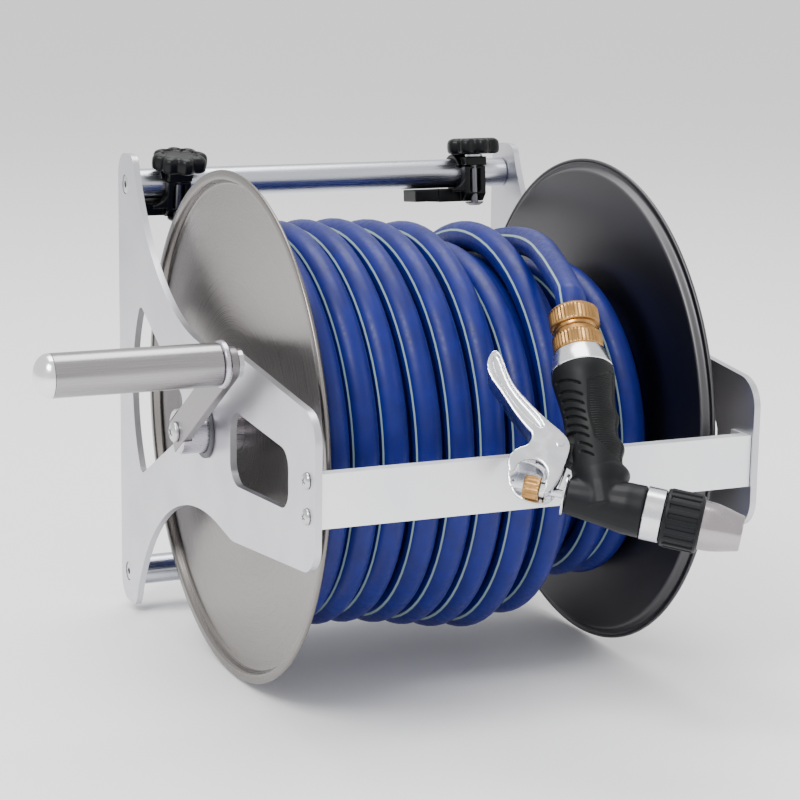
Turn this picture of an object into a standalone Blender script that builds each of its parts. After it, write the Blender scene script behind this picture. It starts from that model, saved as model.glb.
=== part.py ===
"""Garden hose reel: a drum between two side plates, a crank, two pipe clamps and a spray gun.

Metres, +Z up. X runs along the drum's axle, with the crank at -X and the water inlet at +X.
The front bar and the spray gun are at -Y. The origin is the middle of the top tube's axis.
"""
import math

import bmesh
import bpy
import numpy as np
from mathutils import Matrix, Vector

# Clearances
GAP = 0.0003
THREAD_GAP = 0.0004

# Frame: two cut plates held apart by two tubes and a bar
PLATE_THICKNESS = 0.004
PLATE_SPACING = 0.261
REAR_EDGE_Y = 0.014
TUBE_RADIUS = 0.0095
TUBE_SPACING = 0.2528
AXLE_DEPTH = 0.150
PLATE_REACH = 0.1705
HORN_OVERHANG = 0.0196
HORN_WIDTH = 0.0295
ARM_ROOT_HEIGHT = 0.0552
ARM_TIP_HEIGHT = 0.042
ARM_ROOT_Y = 0.046
WAIST_END_Y = 0.026
WAIST_HEIGHT = 0.0495
WAIST_RADIUS = 0.142
BAR_HEIGHT = 0.0295
BAR_DROP = 0.0030
BAR_SHEET = 0.002
BAR_LIP = 0.007
BAR_TAB = 0.018
BAR_SETBACK = 0.0017

# Drum: two stepped discs, a barrel, two plugs and the axle
DISC_RADIUS = 0.150
DISC_SHEET = 0.0012
DRUM_WIDTH = 0.2266
RIM_STEP = 0.0048
RIM_WIDTH = 0.0065
RIM_BEAD = 0.0032
BARREL_RADIUS = 0.040
BARREL_WALL = 0.0016
PLUG_THICKNESS = 0.010
AXLE_RADIUS = 0.0133
AXLE_BORE = 0.006
HUB_REACH = 0.0175
BUSH_WALL = 0.0024
BUSH_FLANGE = 0.0015

# Crank
CRANK_RADIUS = 0.101
CRANK_ANGLE = math.radians(33.4)
ARM_WIDTH = 0.0188
ARM_THICKNESS = 0.005
GRIP_RADIUS = 0.012
GRIP_LENGTH = 0.097
GRIP_WALL = 0.0025
GRIP_CAP = 0.0088
COLLAR_LENGTH = 0.004
SPINDLE_RADIUS = 0.005

# Hose on the drum, sagging a little on its core
HOSE_RADIUS = 0.0085
WINDING_RADIUS = 0.1112
WINDING_GROWTH = 0.0008
WINDING_SAG = 0.0092
WINDING_PITCH = 0.0176
WINDING_SPREAD = 0.0032
WINDING_SWAY = 0.0040
WINDING_DIP = 0.0110
DIPPED_TURN = 6
TURNS_TO_TOP = 7
WINDING_MARGIN = 0.0012
WINDING_LAST_STEP = 0.0030
LAST_TURN_DROP = 0.0110
LOW_TURN_RADIUS = 0.0900
LOW_TURN_PITCH = 0.0177
LOW_TURNS = 1.7
LOW_TURN_START = math.radians(160.0)
TAIL_START = math.radians(150.0)
TAIL_KNOTS = ((0.0625, 0.062, 0.0770), (0.0640, 0.030, 0.0950), (0.0635, 0.005, 0.1015),
              (0.0605, -0.025, 0.1047), (0.0530, -0.056, 0.1051), (0.0450, -0.082, 0.1030),
              (0.0375, -0.107, 0.0994))
LOOP_POINTS = 24

# Spray gun, parked in front of the bar; its place is where barrel and handle meet
GUN_SIDE = 0.0117
GUN_STANDOFF = 0.0472
GUN_BELOW_BAR_TOP = 0.01725
GUN_YAW = math.radians(35.2)
GUN_DOWN = math.radians(9.2)
GUN_LEAN = math.radians(38.9)
HANDLE_ANGLE = math.radians(110.5)
HANDLE_OFFSET = 0.0022
HANDLE_CORE = 0.009
HANDLE_BORE = 0.0055
GRIP_START = 0.0165
GRIP_END = 0.0785
GRIP_RING = 0.0110
GRIP_RING_RADIUS = 0.0168
GRIP_RING_TOP = 0.0140
SWIVEL_NUT = 0.0125
HOSE_NUT = 0.0135
NUT_RADIUS = 0.0137
BARREL_REAR = 0.0215
BARREL_FRONT = 0.0194
BARREL_REAR_RADIUS = 0.0098
BARREL_FRONT_RADIUS = 0.0138
BARREL_CHAMBER = 0.0085
STEM_RADIUS = 0.0022
STEM_REACH = 0.051
BARREL_RING = 0.0102
NOZZLE_RING = 0.0200
NOZZLE_RING_RADIUS = 0.0156
NOZZLE_TIP = 0.0212
NOZZLE_TIP_RADIUS = 0.0130
NOZZLE_MOUTH_RADIUS = 0.0095
NOZZLE_WALL = 0.0022
TRIGGER_PIVOT = Vector((-0.0307, 0.0, 0.0251))
TRIGGER_WIDTH = 0.0166
TRIGGER_WALL = 0.0014
PIVOT_RADIUS = 0.0022
LUG_WIDTH = 0.0100

# Pipe clamps on the top tube
CLAMP_WIDTH = 0.0210
CLAMP_SIDE_ROOM = 0.0165
STRAP_WIDTH = 0.0150
STRAP_DEPTH = 0.0058
JAW_WALL = 0.0028
FOOT_LENGTH = 0.0240
FOOT_HEIGHT = 0.0086
FOOT_DEPTH = 0.0200
END_BLOCK_LENGTH = 0.0170
LEFT_CLAMP_LEAN = math.radians(10.0)
RIGHT_CLAMP_LEAN = math.radians(-6.0)
BOLT_RADIUS = 0.0025
BOLT_HEAD_RADIUS = 0.0060
BOLT_HEAD_HEIGHT = 0.0024
BOLT_NECK = 0.0034
LUG_TOP = 0.0108
WASHER_THICKNESS = 0.0012
KNOB_RADIUS = 0.0178
KNOB_HEIGHT = 0.0105
KNOB_LOBES = 8
KNOB_DENT = 0.0026
CLAMP_PIN_RADIUS = 0.0015

# Water inlet
INLET_LENGTH = 0.0260
INLET_WALL = 0.0045
INLET_DROP = 0.0360
INLET_PIPE_RADIUS = 0.0095
INLET_BORE = 0.0060
ADAPTER_RADIUS = 0.0132
ADAPTER_LENGTH = 0.0240

# Fasteners
TUBE_SCREW_HEAD = 0.0058
TUBE_SCREW_SHANK = 0.0030
TUBE_SCREW_LENGTH = 0.014
SOCKET_DEPTH = 0.0020
SOCKET_RADIUS = 0.0021
BAR_SCREW_HEAD = 0.0044
BAR_SCREW_HEIGHT = 0.0019
BAR_SCREW_SHANK = 0.0019
BAR_SCREW_LENGTH = 0.0085
BAR_SCREW_SPACING = 0.0192
CRANK_SCREW_HEAD = 0.0060
CRANK_SCREW_HEIGHT = 0.0032
CRANK_SCREW_SHANK = 0.0030
CRANK_SCREW_LENGTH = 0.020

# Places worked out from the sizes above
AXIS = Vector((0.0, -AXLE_DEPTH, -TUBE_SPACING / 2))
PLATE_INNER = PLATE_SPACING / 2
PLATE_OUTER = PLATE_INNER + PLATE_THICKNESS
CLAMP_SPACING = PLATE_SPACING - CLAMP_WIDTH - 2 * CLAMP_SIDE_ROOM
DISC_FACE = DRUM_WIDTH / 2
HUB_END = -(PLATE_OUTER + HUB_REACH)
ARM_FACE = HUB_END
GRIP_START_X = ARM_FACE - GAP
GRIP_Y = -CRANK_RADIUS * math.cos(CRANK_ANGLE)
GRIP_Z = CRANK_RADIUS * math.sin(CRANK_ANGLE)
BUSH_RADIUS = AXLE_RADIUS + GAP + BUSH_WALL
BAR_FACE_Y = -(PLATE_REACH - BAR_SETBACK)
BAR_TOP = BAR_HEIGHT / 2 - BAR_DROP
GUN_PLACE = Vector((GUN_SIDE, BAR_FACE_Y - GUN_STANDOFF, BAR_TOP - GUN_BELOW_BAR_TOP))
INLET_START = PLATE_OUTER + BUSH_FLANGE + 2 * GAP
AXLE_END = INLET_START + INLET_LENGTH - INLET_WALL - GAP
BOLT_Y = -(TUBE_RADIUS + GAP + STRAP_DEPTH / 2)
FOOT_TOP = -(TUBE_RADIUS + 2 * GAP)
FOOT_BOTTOM = FOOT_TOP - FOOT_HEIGHT
KNOB_BASE = LUG_TOP + WASHER_THICKNESS + 2 * GAP
COUPLER_START = GRIP_END + GAP + GRIP_RING + GAP
COUPLER_END = COUPLER_START + SWIVEL_NUT + GAP + HOSE_NUT

ALONG_Z = Matrix.Rotation(-math.pi / 2, 4, "Y")
SIDE_VIEW = Matrix(((0, 1, 0, 0), (-1, 0, 0, 0), (0, 0, 1, 0), (0, 0, 0, 1)))


def clear_scene():
    """Start from an empty scene."""
    for obj in list(bpy.data.objects):
        bpy.data.objects.remove(obj, do_unlink=True)


def material(name, colour, roughness, metallic):
    """A plain Principled material."""
    mat = bpy.data.materials.new(name)
    mat.use_nodes = True
    shader = mat.node_tree.nodes["Principled BSDF"]
    shader.inputs["Base Color"].default_value = (*colour, 1.0)
    shader.inputs["Roughness"].default_value = roughness
    shader.inputs["Metallic"].default_value = metallic
    mat.diffuse_color = (*colour, 1.0)
    return mat


def empty(name, place, parent=None):
    """An empty that marks a joint's axis or a sub-assembly's frame."""
    obj = bpy.data.objects.new(name, None)
    bpy.context.collection.objects.link(obj)
    obj.parent = parent
    obj.matrix_local = place
    return obj


def place_object(obj, parent, place):
    """Link an object under its parent, at a place given in the parent's frame."""
    bpy.context.collection.objects.link(obj)
    obj.parent = parent
    obj.matrix_local = place
    return obj


def finish_mesh(name, bm, mat, parent, place, edge_angle=math.radians(30)):
    """Turn a bmesh into a smooth-shaded object with outward faces."""
    bmesh.ops.remove_doubles(bm, verts=bm.verts, dist=1e-6)
    bmesh.ops.recalc_face_normals(bm, faces=bm.faces)
    mesh = bpy.data.meshes.new(name)
    bm.to_mesh(mesh)
    bm.free()
    mesh.shade_smooth()
    mesh.set_sharp_from_angle(angle=edge_angle)
    if mat:
        mesh.materials.append(mat)
    return place_object(bpy.data.objects.new(name, mesh), parent, place)


def turned(name, profile, mat=None, parent=None, place=Matrix(), steps=24):
    """A turned piece: (along, radius) points spun about the X axis.

    A profile that starts and ends on the axis is closed by its poles, and any other is a ring.
    """
    bm = bmesh.new()
    verts = [bm.verts.new((along, 0.0, radius)) for along, radius in profile]
    edges = [bm.edges.new(pair) for pair in zip(verts, verts[1:])]
    if profile[0][1] > 0.0 or profile[-1][1] > 0.0:
        edges.append(bm.edges.new((verts[-1], verts[0])))
    bmesh.ops.spin(bm, geom=verts + edges, cent=(0, 0, 0), axis=(1, 0, 0), angle=math.tau,
                   steps=steps, use_merge=True)
    return finish_mesh(name, bm, mat, parent, place)


def extruded(name, outline, low, high, mat=None, parent=None, place=Matrix()):
    """A closed outline of (y, z) points extruded along X from low to high."""
    bm = bmesh.new()
    face = bm.faces.new([bm.verts.new((low, y, z)) for y, z in outline])
    grown = bmesh.ops.extrude_face_region(bm, geom=[face])["geom"]
    moved = [item for item in grown if isinstance(item, bmesh.types.BMVert)]
    bmesh.ops.translate(bm, verts=moved, vec=(high - low, 0, 0))
    return finish_mesh(name, bm, mat, parent, place)


def box(name, low, high, mat=None, parent=None, place=Matrix()):
    """A box between two corners."""
    outline = [(low[1], low[2]), (high[1], low[2]), (high[1], high[2]), (low[1], high[2])]
    return extruded(name, outline, low[0], high[0], mat, parent, place)


def rod(name, radius, low, high, mat=None, parent=None, place=Matrix(), steps=20):
    """A plain cylinder along X."""
    return turned(name, [(low, 0.0), (low, radius), (high, radius), (high, 0.0)],
                  mat, parent, place, steps)


def ring(name, inner, outer, low, high, mat=None, parent=None, place=Matrix(), steps=24, edge=0.0):
    """A tube or washer along X, with its outer edges broken by a small chamfer."""
    profile = [(low, inner), (low, outer - edge), (low + edge, outer),
               (high - edge, outer), (high, outer - edge), (high, inner)]
    if not edge:
        profile = [(low, inner), (low, outer), (high, outer), (high, inner)]
    return turned(name, profile, mat, parent, place, steps)


def arc(centre, radius, start, end, count):
    """Points on an arc from one angle to another, both included."""
    return [(centre[0] + radius * math.cos(start + (end - start) * i / count),
             centre[1] + radius * math.sin(start + (end - start) * i / count))
            for i in range(count + 1)]


def rounded(corners, segments=5):
    """A closed outline whose corners (y, z, radius) are rounded by arcs."""
    points = []
    for i, (y, z, radius) in enumerate(corners):
        here = Vector((y, z))
        if not radius:
            points.append((y, z))
            continue
        back = (Vector(corners[i - 1][:2]) - here).normalized()
        ahead = (Vector(corners[(i + 1) % len(corners)][:2]) - here).normalized()
        half = back.angle(ahead) / 2
        middle = here + (back + ahead).normalized() * radius / math.sin(half)
        first = here + back * radius / math.tan(half) - middle
        last = here + ahead * radius / math.tan(half) - middle
        sweep = first.angle_signed(last)
        for k in range(segments + 1):
            turn = Matrix.Rotation(-sweep * k / segments, 2)
            points.append(tuple(middle + turn @ first))
    return points


def boolean(target, tool, operation):
    """Cut a hidden tool out of a target, or unite them."""
    tool.hide_render = True
    tool.display_type = "WIRE"
    step = target.modifiers.new(operation.lower(), "BOOLEAN")
    step.operation = operation
    step.object = tool
    step.solver = "EXACT"
    return target


def cut(target, *tools):
    """Cut each tool out of the target."""
    for tool in tools:
        boolean(target, tool, "DIFFERENCE")
    return target


def unite(target, *tools):
    """Unite each tool with the target."""
    for tool in tools:
        boolean(target, tool, "UNION")
    return target


def tube_curve(name, points, radius, mat=None, parent=None, resolution=1):
    """A round tube through the given points, with filled ends."""
    curve = bpy.data.curves.new(name, "CURVE")
    curve.dimensions = "3D"
    curve.bevel_depth = radius
    curve.bevel_resolution = resolution
    curve.use_fill_caps = True
    spline = curve.splines.new("POLY")
    spline.points.add(len(points) - 1)
    for target, point in zip(spline.points, points):
        target.co = (*point, 1.0)
    if mat:
        curve.materials.append(mat)
    return place_object(bpy.data.objects.new(name, curve), parent, Matrix())


def tube_mesh(name, points, radius, resolution=1):
    """The same tube as a mesh, for uniting with another piece."""
    source = tube_curve(name + "_path", points, radius, resolution=resolution)
    bpy.context.view_layer.update()
    mesh = bpy.data.meshes.new_from_object(source.evaluated_get(bpy.context.evaluated_depsgraph_get()))
    bpy.data.objects.remove(source, do_unlink=True)
    bm = bmesh.new()
    bm.from_mesh(mesh)
    bpy.data.meshes.remove(mesh)
    return finish_mesh(name, bm, None, None, Matrix())


def smooth_route(points, spacing):
    """Evenly spaced points on a smooth curve; the first and last chosen points only steer its ends."""
    knots = [Vector(p) for p in points]
    fine = []
    for a, b, c, d in zip(knots, knots[1:], knots[2:], knots[3:]):
        for k in range(24):
            t = k / 24
            fine.append(0.5 * (2 * b + (c - a) * t + (2 * a - 5 * b + 4 * c - d) * t * t
                               + (3 * b - a - 3 * c + d) * t * t * t))
    fine.append(knots[-2])
    lengths = np.cumsum([0.0] + [(q - p).length for p, q in zip(fine, fine[1:])])
    count = max(2, round(lengths[-1] / spacing))
    wanted = np.linspace(0.0, lengths[-1], count + 1)
    table = np.array([tuple(p) for p in fine])
    return [Vector([float(np.interp(w, lengths, table[:, axis])) for axis in range(3)]) for w in wanted]


def ease(t):
    """A smooth step from 0 to 1."""
    t = min(max(t, 0.0), 1.0)
    return t * t * (3 - 2 * t)


def make_materials():
    """One material for each finish on the reel."""
    return {
        "plate": material("satin_aluminium", (0.72, 0.72, 0.73), 0.38, 1.0),
        "disc": material("brushed_stainless", (0.50, 0.48, 0.47), 0.28, 1.0),
        "tube": material("anodised_tube", (0.74, 0.75, 0.77), 0.30, 1.0),
        "bar": material("bar_sheet", (0.80, 0.82, 0.85), 0.34, 1.0),
        "screw": material("zinc_screw", (0.66, 0.67, 0.68), 0.32, 1.0),
        "steel": material("polished_steel", (0.58, 0.57, 0.56), 0.22, 1.0),
        "bush": material("black_nylon", (0.02, 0.02, 0.02), 0.50, 0.0),
        "hose": material("blue_hose", (0.012, 0.040, 0.330), 0.30, 0.0),
        "clamp": material("clamp_plastic", (0.022, 0.024, 0.028), 0.45, 0.0),
        "brass": material("brass", (0.66, 0.42, 0.17), 0.32, 1.0),
        "chrome": material("chrome", (0.80, 0.80, 0.81), 0.10, 1.0),
        "rubber": material("grip_rubber", (0.014, 0.014, 0.015), 0.62, 0.0),
        "shell": material("gun_enamel", (0.016, 0.017, 0.021), 0.35, 0.0),
        "ring": material("satin_ring", (0.76, 0.77, 0.79), 0.26, 1.0),
    }


def side_plate_outline():
    """The plate's outline in the drum axis's frame: two horns, a waist and a front arm."""
    rear = AXLE_DEPTH + REAR_EDGE_Y
    horn = TUBE_SPACING / 2 + HORN_OVERHANG
    centre_z = WAIST_HEIGHT + WAIST_RADIUS
    horn_front = rear - HORN_WIDTH
    at_horn = math.asin((centre_z - horn) / WAIST_RADIUS)
    at_root = math.acos(WAIST_END_Y / WAIST_RADIUS)
    waist = arc((0.0, centre_z), WAIST_RADIUS, -at_horn, -(math.pi - at_root), 12)
    waist = [(y, z) for y, z in waist if z < horn - 0.008]
    upper = rounded([(rear, 0.0, 0), (rear, horn, 0.014), (horn_front, horn, 0.009), (*waist[0], 0)])
    upper = [p for p in upper if p[1] > 0.0]
    tip = rounded([(-ARM_ROOT_Y, ARM_ROOT_HEIGHT, 0.030), (-PLATE_REACH, ARM_TIP_HEIGHT, 0.017),
                   (-PLATE_REACH, 0.0, 0), (*waist[-1], 0)])
    front = [p for p in tip if p[1] > 0.0 and p != waist[-1]]
    half = upper[:-1] + waist + front
    return half + [(y, -z) for y, z in reversed(half)]


def side_plate(name, side, mats, frame):
    """A side plate with its two slots and its holes for the axle, tubes and screws."""
    low, high = sorted((side * PLATE_INNER, side * PLATE_OUTER))
    far_low, far_high = low - 0.01, high + 0.01
    plate = extruded(name, side_plate_outline(), low, high, mats["plate"], frame)
    rear_arc = arc((0.0365, 0.0), 0.1005, math.radians(-33), math.radians(33), 10)
    rear_slot = rounded([(0.040, 0.012, 0.007), (0.040, -0.012, 0.007)]
                        + [(y, z, 0.006 if i in (0, 10) else 0) for i, (y, z) in enumerate(rear_arc)], 4)
    front_slot = rounded([(-0.043, 0.022, 0.013), (-0.133, 0.016, 0.011),
                          (-0.133, -0.016, 0.011), (-0.043, -0.022, 0.013)], 4)
    tools = [extruded(f"cut_{name}_rear_slot", rear_slot, far_low, far_high, parent=frame),
             extruded(f"cut_{name}_front_slot", front_slot, far_low, far_high, parent=frame),
             rod(f"cut_{name}_axle", BUSH_RADIUS + GAP, far_low, far_high, parent=frame, steps=24)]
    for label, z in (("top", TUBE_SPACING / 2), ("bottom", -TUBE_SPACING / 2)):
        hole = Matrix.Translation((0, AXLE_DEPTH, z))
        tools.append(countersink(f"cut_{name}_{label}", side, frame, hole, GAP))
    for label, z in bar_screw_heights():
        hole = Matrix.Translation((0, bar_screw_y(), z))
        tools.append(rod(f"cut_{name}_{label}", BAR_SCREW_SHANK + GAP, far_low, far_high,
                         parent=frame, place=hole, steps=10))
    return cut(plate, *tools)


def countersink(name, side, parent, place, clearance):
    """The shape of a countersunk screw, grown by a clearance to cut its seat."""
    face = side * (PLATE_OUTER + clearance)
    cone_end = side * (PLATE_OUTER - (TUBE_SCREW_HEAD - TUBE_SCREW_SHANK))
    shank_end = side * (PLATE_OUTER - TUBE_SCREW_LENGTH - clearance)
    head = TUBE_SCREW_HEAD + clearance
    shank = TUBE_SCREW_SHANK + clearance
    profile = [(face, 0.0), (face, head + clearance), (cone_end, shank), (shank_end, shank), (shank_end, 0.0)]
    if side > 0:
        profile.reverse()
    return turned(name, profile, None, parent, place, 12)


def bar_screw_heights():
    """The two screws at each end of the front bar."""
    middle = -BAR_DROP
    return (("upper", middle + BAR_SCREW_SPACING / 2), ("lower", middle - BAR_SCREW_SPACING / 2))


def bar_screw_y():
    """Depth of the bar's screws, in the middle of its end tabs."""
    return BAR_FACE_Y + BAR_TAB / 2


def frame_tube(name, z, mats, frame):
    """A spacer tube between the plates, with a threaded plug's bore at each end."""
    place = Matrix.Translation((0, AXLE_DEPTH, z))
    reach = PLATE_INNER - GAP
    tube = rod(name, TUBE_RADIUS, -reach, reach, mats["tube"], frame, place, 24)
    bore = TUBE_SCREW_SHANK + THREAD_GAP
    depth = TUBE_SCREW_LENGTH
    return cut(tube,
               rod(f"cut_{name}_left", bore, -reach - 0.005, -reach + depth, None, frame, place, 10),
               rod(f"cut_{name}_right", bore, reach - depth, reach + 0.005, None, frame, place, 10))


def tube_screw(name, side, z, mats, frame):
    """A countersunk screw with a hexagon socket."""
    place = Matrix.Translation((0, AXLE_DEPTH, z))
    head = TUBE_SCREW_HEAD - GAP
    face = side * (PLATE_OUTER - GAP)
    cone_end = side * (PLATE_OUTER - (head - TUBE_SCREW_SHANK) - GAP)
    shank_end = side * (PLATE_OUTER - TUBE_SCREW_LENGTH)
    profile = [(face, 0.0), (face, head), (cone_end, TUBE_SCREW_SHANK),
               (shank_end, TUBE_SCREW_SHANK), (shank_end, 0.0)]
    if side > 0:
        profile.reverse()
    screw = turned(name, profile, mats["screw"], frame, place, 12)
    ends = sorted((side * (PLATE_OUTER + 0.002), side * (PLATE_OUTER - SOCKET_DEPTH)))
    return cut(screw, rod(f"cut_{name}_socket", SOCKET_RADIUS, *ends, None, frame, place, 6))


def front_bar(mats, frame):
    """The bar across the front: a lipped sheet with a tab bent back at each end."""
    reach = PLATE_INNER - GAP
    top = BAR_TOP
    bottom = top - BAR_HEIGHT
    back = BAR_FACE_Y + BAR_LIP
    section = [(BAR_FACE_Y, bottom), (BAR_FACE_Y, top), (back, top), (back, top - BAR_SHEET),
               (BAR_FACE_Y + BAR_SHEET, top - BAR_SHEET), (BAR_FACE_Y + BAR_SHEET, bottom + BAR_SHEET),
               (back, bottom + BAR_SHEET), (back, bottom)]
    bar = extruded("front_bar", section, -reach, reach, mats["bar"], frame)
    tools = []
    for label, side in (("left", -1), ("right", 1)):
        low, high = sorted((side * reach, side * (reach - BAR_SHEET)))
        tools.append(box(f"join_bar_{label}_tab", (low, BAR_FACE_Y, bottom),
                         (high, BAR_FACE_Y + BAR_TAB, top), None, frame))
    unite(bar, *tools)
    for label, z in bar_screw_heights():
        hole = Matrix.Translation((0, bar_screw_y(), z))
        cut(bar, rod(f"cut_bar_{label}", BAR_SCREW_SHANK + GAP, -reach - 0.01, reach + 0.01,
                     None, frame, hole, 10))
    return bar


def bar_screw(name, side, z, mats, frame):
    """A pan-head screw through the plate and the bar's tab."""
    place = Matrix.Translation((0, bar_screw_y(), z))
    seat = side * (PLATE_OUTER + GAP)
    crown = side * (PLATE_OUTER + GAP + BAR_SCREW_HEIGHT)
    shoulder = side * (PLATE_OUTER + GAP + BAR_SCREW_HEIGHT * 0.55)
    end = side * (PLATE_OUTER - BAR_SCREW_LENGTH)
    profile = [(crown, 0.0), (crown, BAR_SCREW_HEAD * 0.6), (shoulder, BAR_SCREW_HEAD), (seat, BAR_SCREW_HEAD),
               (seat, BAR_SCREW_SHANK), (end, BAR_SCREW_SHANK), (end, 0.0)]
    if side > 0:
        profile.reverse()
    return turned(name, profile, mats["screw"], frame, place, 10)


def bushing(name, side, mats, frame):
    """A flanged nylon bushing that carries the axle in its plate."""
    inner = AXLE_RADIUS + GAP
    a = side * (PLATE_INNER + GAP)
    b = side * (PLATE_OUTER + GAP)
    c = side * (PLATE_OUTER + GAP + BUSH_FLANGE)
    flange = BUSH_RADIUS + 2.2 * GAP
    profile = [(a, inner), (a, BUSH_RADIUS), (b, BUSH_RADIUS), (b, flange), (c, flange), (c, inner)]
    if side > 0:
        profile.reverse()
    return turned(name, profile, mats["bush"], frame)


def build_frame(mats):
    """Everything that is fixed to the wall side of the reel."""
    frame = empty("frame_origin", Matrix.Translation(AXIS))
    for label, side in (("left", -1), ("right", 1)):
        side_plate(f"{label}_side_plate", side, mats, frame)
        bushing(f"{label}_bushing", side, mats, frame)
        for height, z in (("top", TUBE_SPACING / 2), ("bottom", -TUBE_SPACING / 2)):
            tube_screw(f"{height}_tube_screw_{label}", side, z, mats, frame)
        for height, z in bar_screw_heights():
            bar_screw(f"{height}_bar_screw_{label}", side, z, mats, frame)
    frame_tube("top_tube", TUBE_SPACING / 2, mats, frame)
    frame_tube("bottom_tube", -TUBE_SPACING / 2, mats, frame)
    front_bar(mats, frame)
    return frame


def disc(name, side, mats, axis):
    """A pressed disc: flat centre, a step outward and a rim with a rolled bead."""
    hole = AXLE_RADIUS + GAP
    step_in = DISC_RADIUS - RIM_WIDTH
    step_out = step_in + RIM_STEP * 0.5
    outer = DISC_FACE + DISC_SHEET
    profile = [(DISC_FACE, hole), (DISC_FACE, step_in), (DISC_FACE + RIM_STEP, step_out),
               (DISC_FACE + RIM_STEP, DISC_RADIUS - 0.0020),
               (DISC_FACE + RIM_STEP - RIM_BEAD * 0.4, DISC_RADIUS),
               (DISC_FACE + RIM_STEP + DISC_SHEET, DISC_RADIUS),
               (DISC_FACE + RIM_STEP + DISC_SHEET, step_out - DISC_SHEET * 0.7),
               (outer, step_in - DISC_SHEET), (outer, hole)]
    profile = [(side * along, radius) for along, radius in profile]
    if side < 0:
        profile.reverse()
    return turned(name, profile, mats["disc"], axis, steps=56)


def drum_barrel(mats, axis):
    """The thin barrel that the hose is wound on."""
    reach = DISC_FACE - GAP
    return ring("drum_barrel", BARREL_RADIUS - BARREL_WALL, BARREL_RADIUS, -reach, reach,
                mats["disc"], axis, steps=32)


def barrel_plug(name, side, mats, axis):
    """A plug that centres the barrel's end on the axle."""
    ends = sorted((side * (DISC_FACE - GAP), side * (DISC_FACE - GAP - PLUG_THICKNESS)))
    return ring(name, AXLE_RADIUS + GAP, BARREL_RADIUS - BARREL_WALL - GAP, *ends, mats["bush"], axis)


def main_axle(mats, axis):
    """The axle: a slotted hub at the crank's end and a water bore at the inlet's end."""
    axle = rod("main_axle", AXLE_RADIUS, HUB_END, AXLE_END, mats["steel"], axis, steps=28)
    slot = extruded("cut_axle_slot", arm_outline(GAP, through=True), HUB_END - 0.005,
                    HUB_END + ARM_THICKNESS + GAP, None, axis)
    screw = rod("cut_axle_screw", CRANK_SCREW_SHANK + THREAD_GAP, HUB_END - 0.001,
                HUB_END + CRANK_SCREW_LENGTH + GAP, None, axis, steps=10)
    bore = rod("cut_axle_bore", AXLE_BORE, 0.02, AXLE_END + 0.005, None, axis, steps=16)
    outlet = rod("cut_axle_outlet", AXLE_BORE * 0.8, 0.0, 0.03, None, axis,
                 Matrix.Translation((0.03, 0, 0)) @ ALONG_Z, 12)
    inlet = rod("cut_axle_inlet", AXLE_BORE * 0.8, -0.03, 0.0, None, axis,
                Matrix.Translation((inlet_pipe_x(), 0, 0)) @ ALONG_Z, 12)
    return cut(axle, slot, screw, bore, outlet, inlet)


def arm_outline(clearance, through=False):
    """The crank arm's outline in the axle's frame, turned to the crank's angle."""
    half = ARM_WIDTH / 2 + clearance
    tail = -0.02 if through else -AXLE_RADIUS * 0.72
    flat = [(tail, -half), (tail, half)]
    end = arc((CRANK_RADIUS, 0.0), half, math.pi / 2, -math.pi / 2, 10)
    if through:
        end = [(0.02, half), (0.02, -half)]
    turn = Matrix.Rotation(math.pi - CRANK_ANGLE, 2)
    points = [turn @ Vector(p) for p in flat + end]
    return [(p.x, p.y) for p in points]


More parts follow.
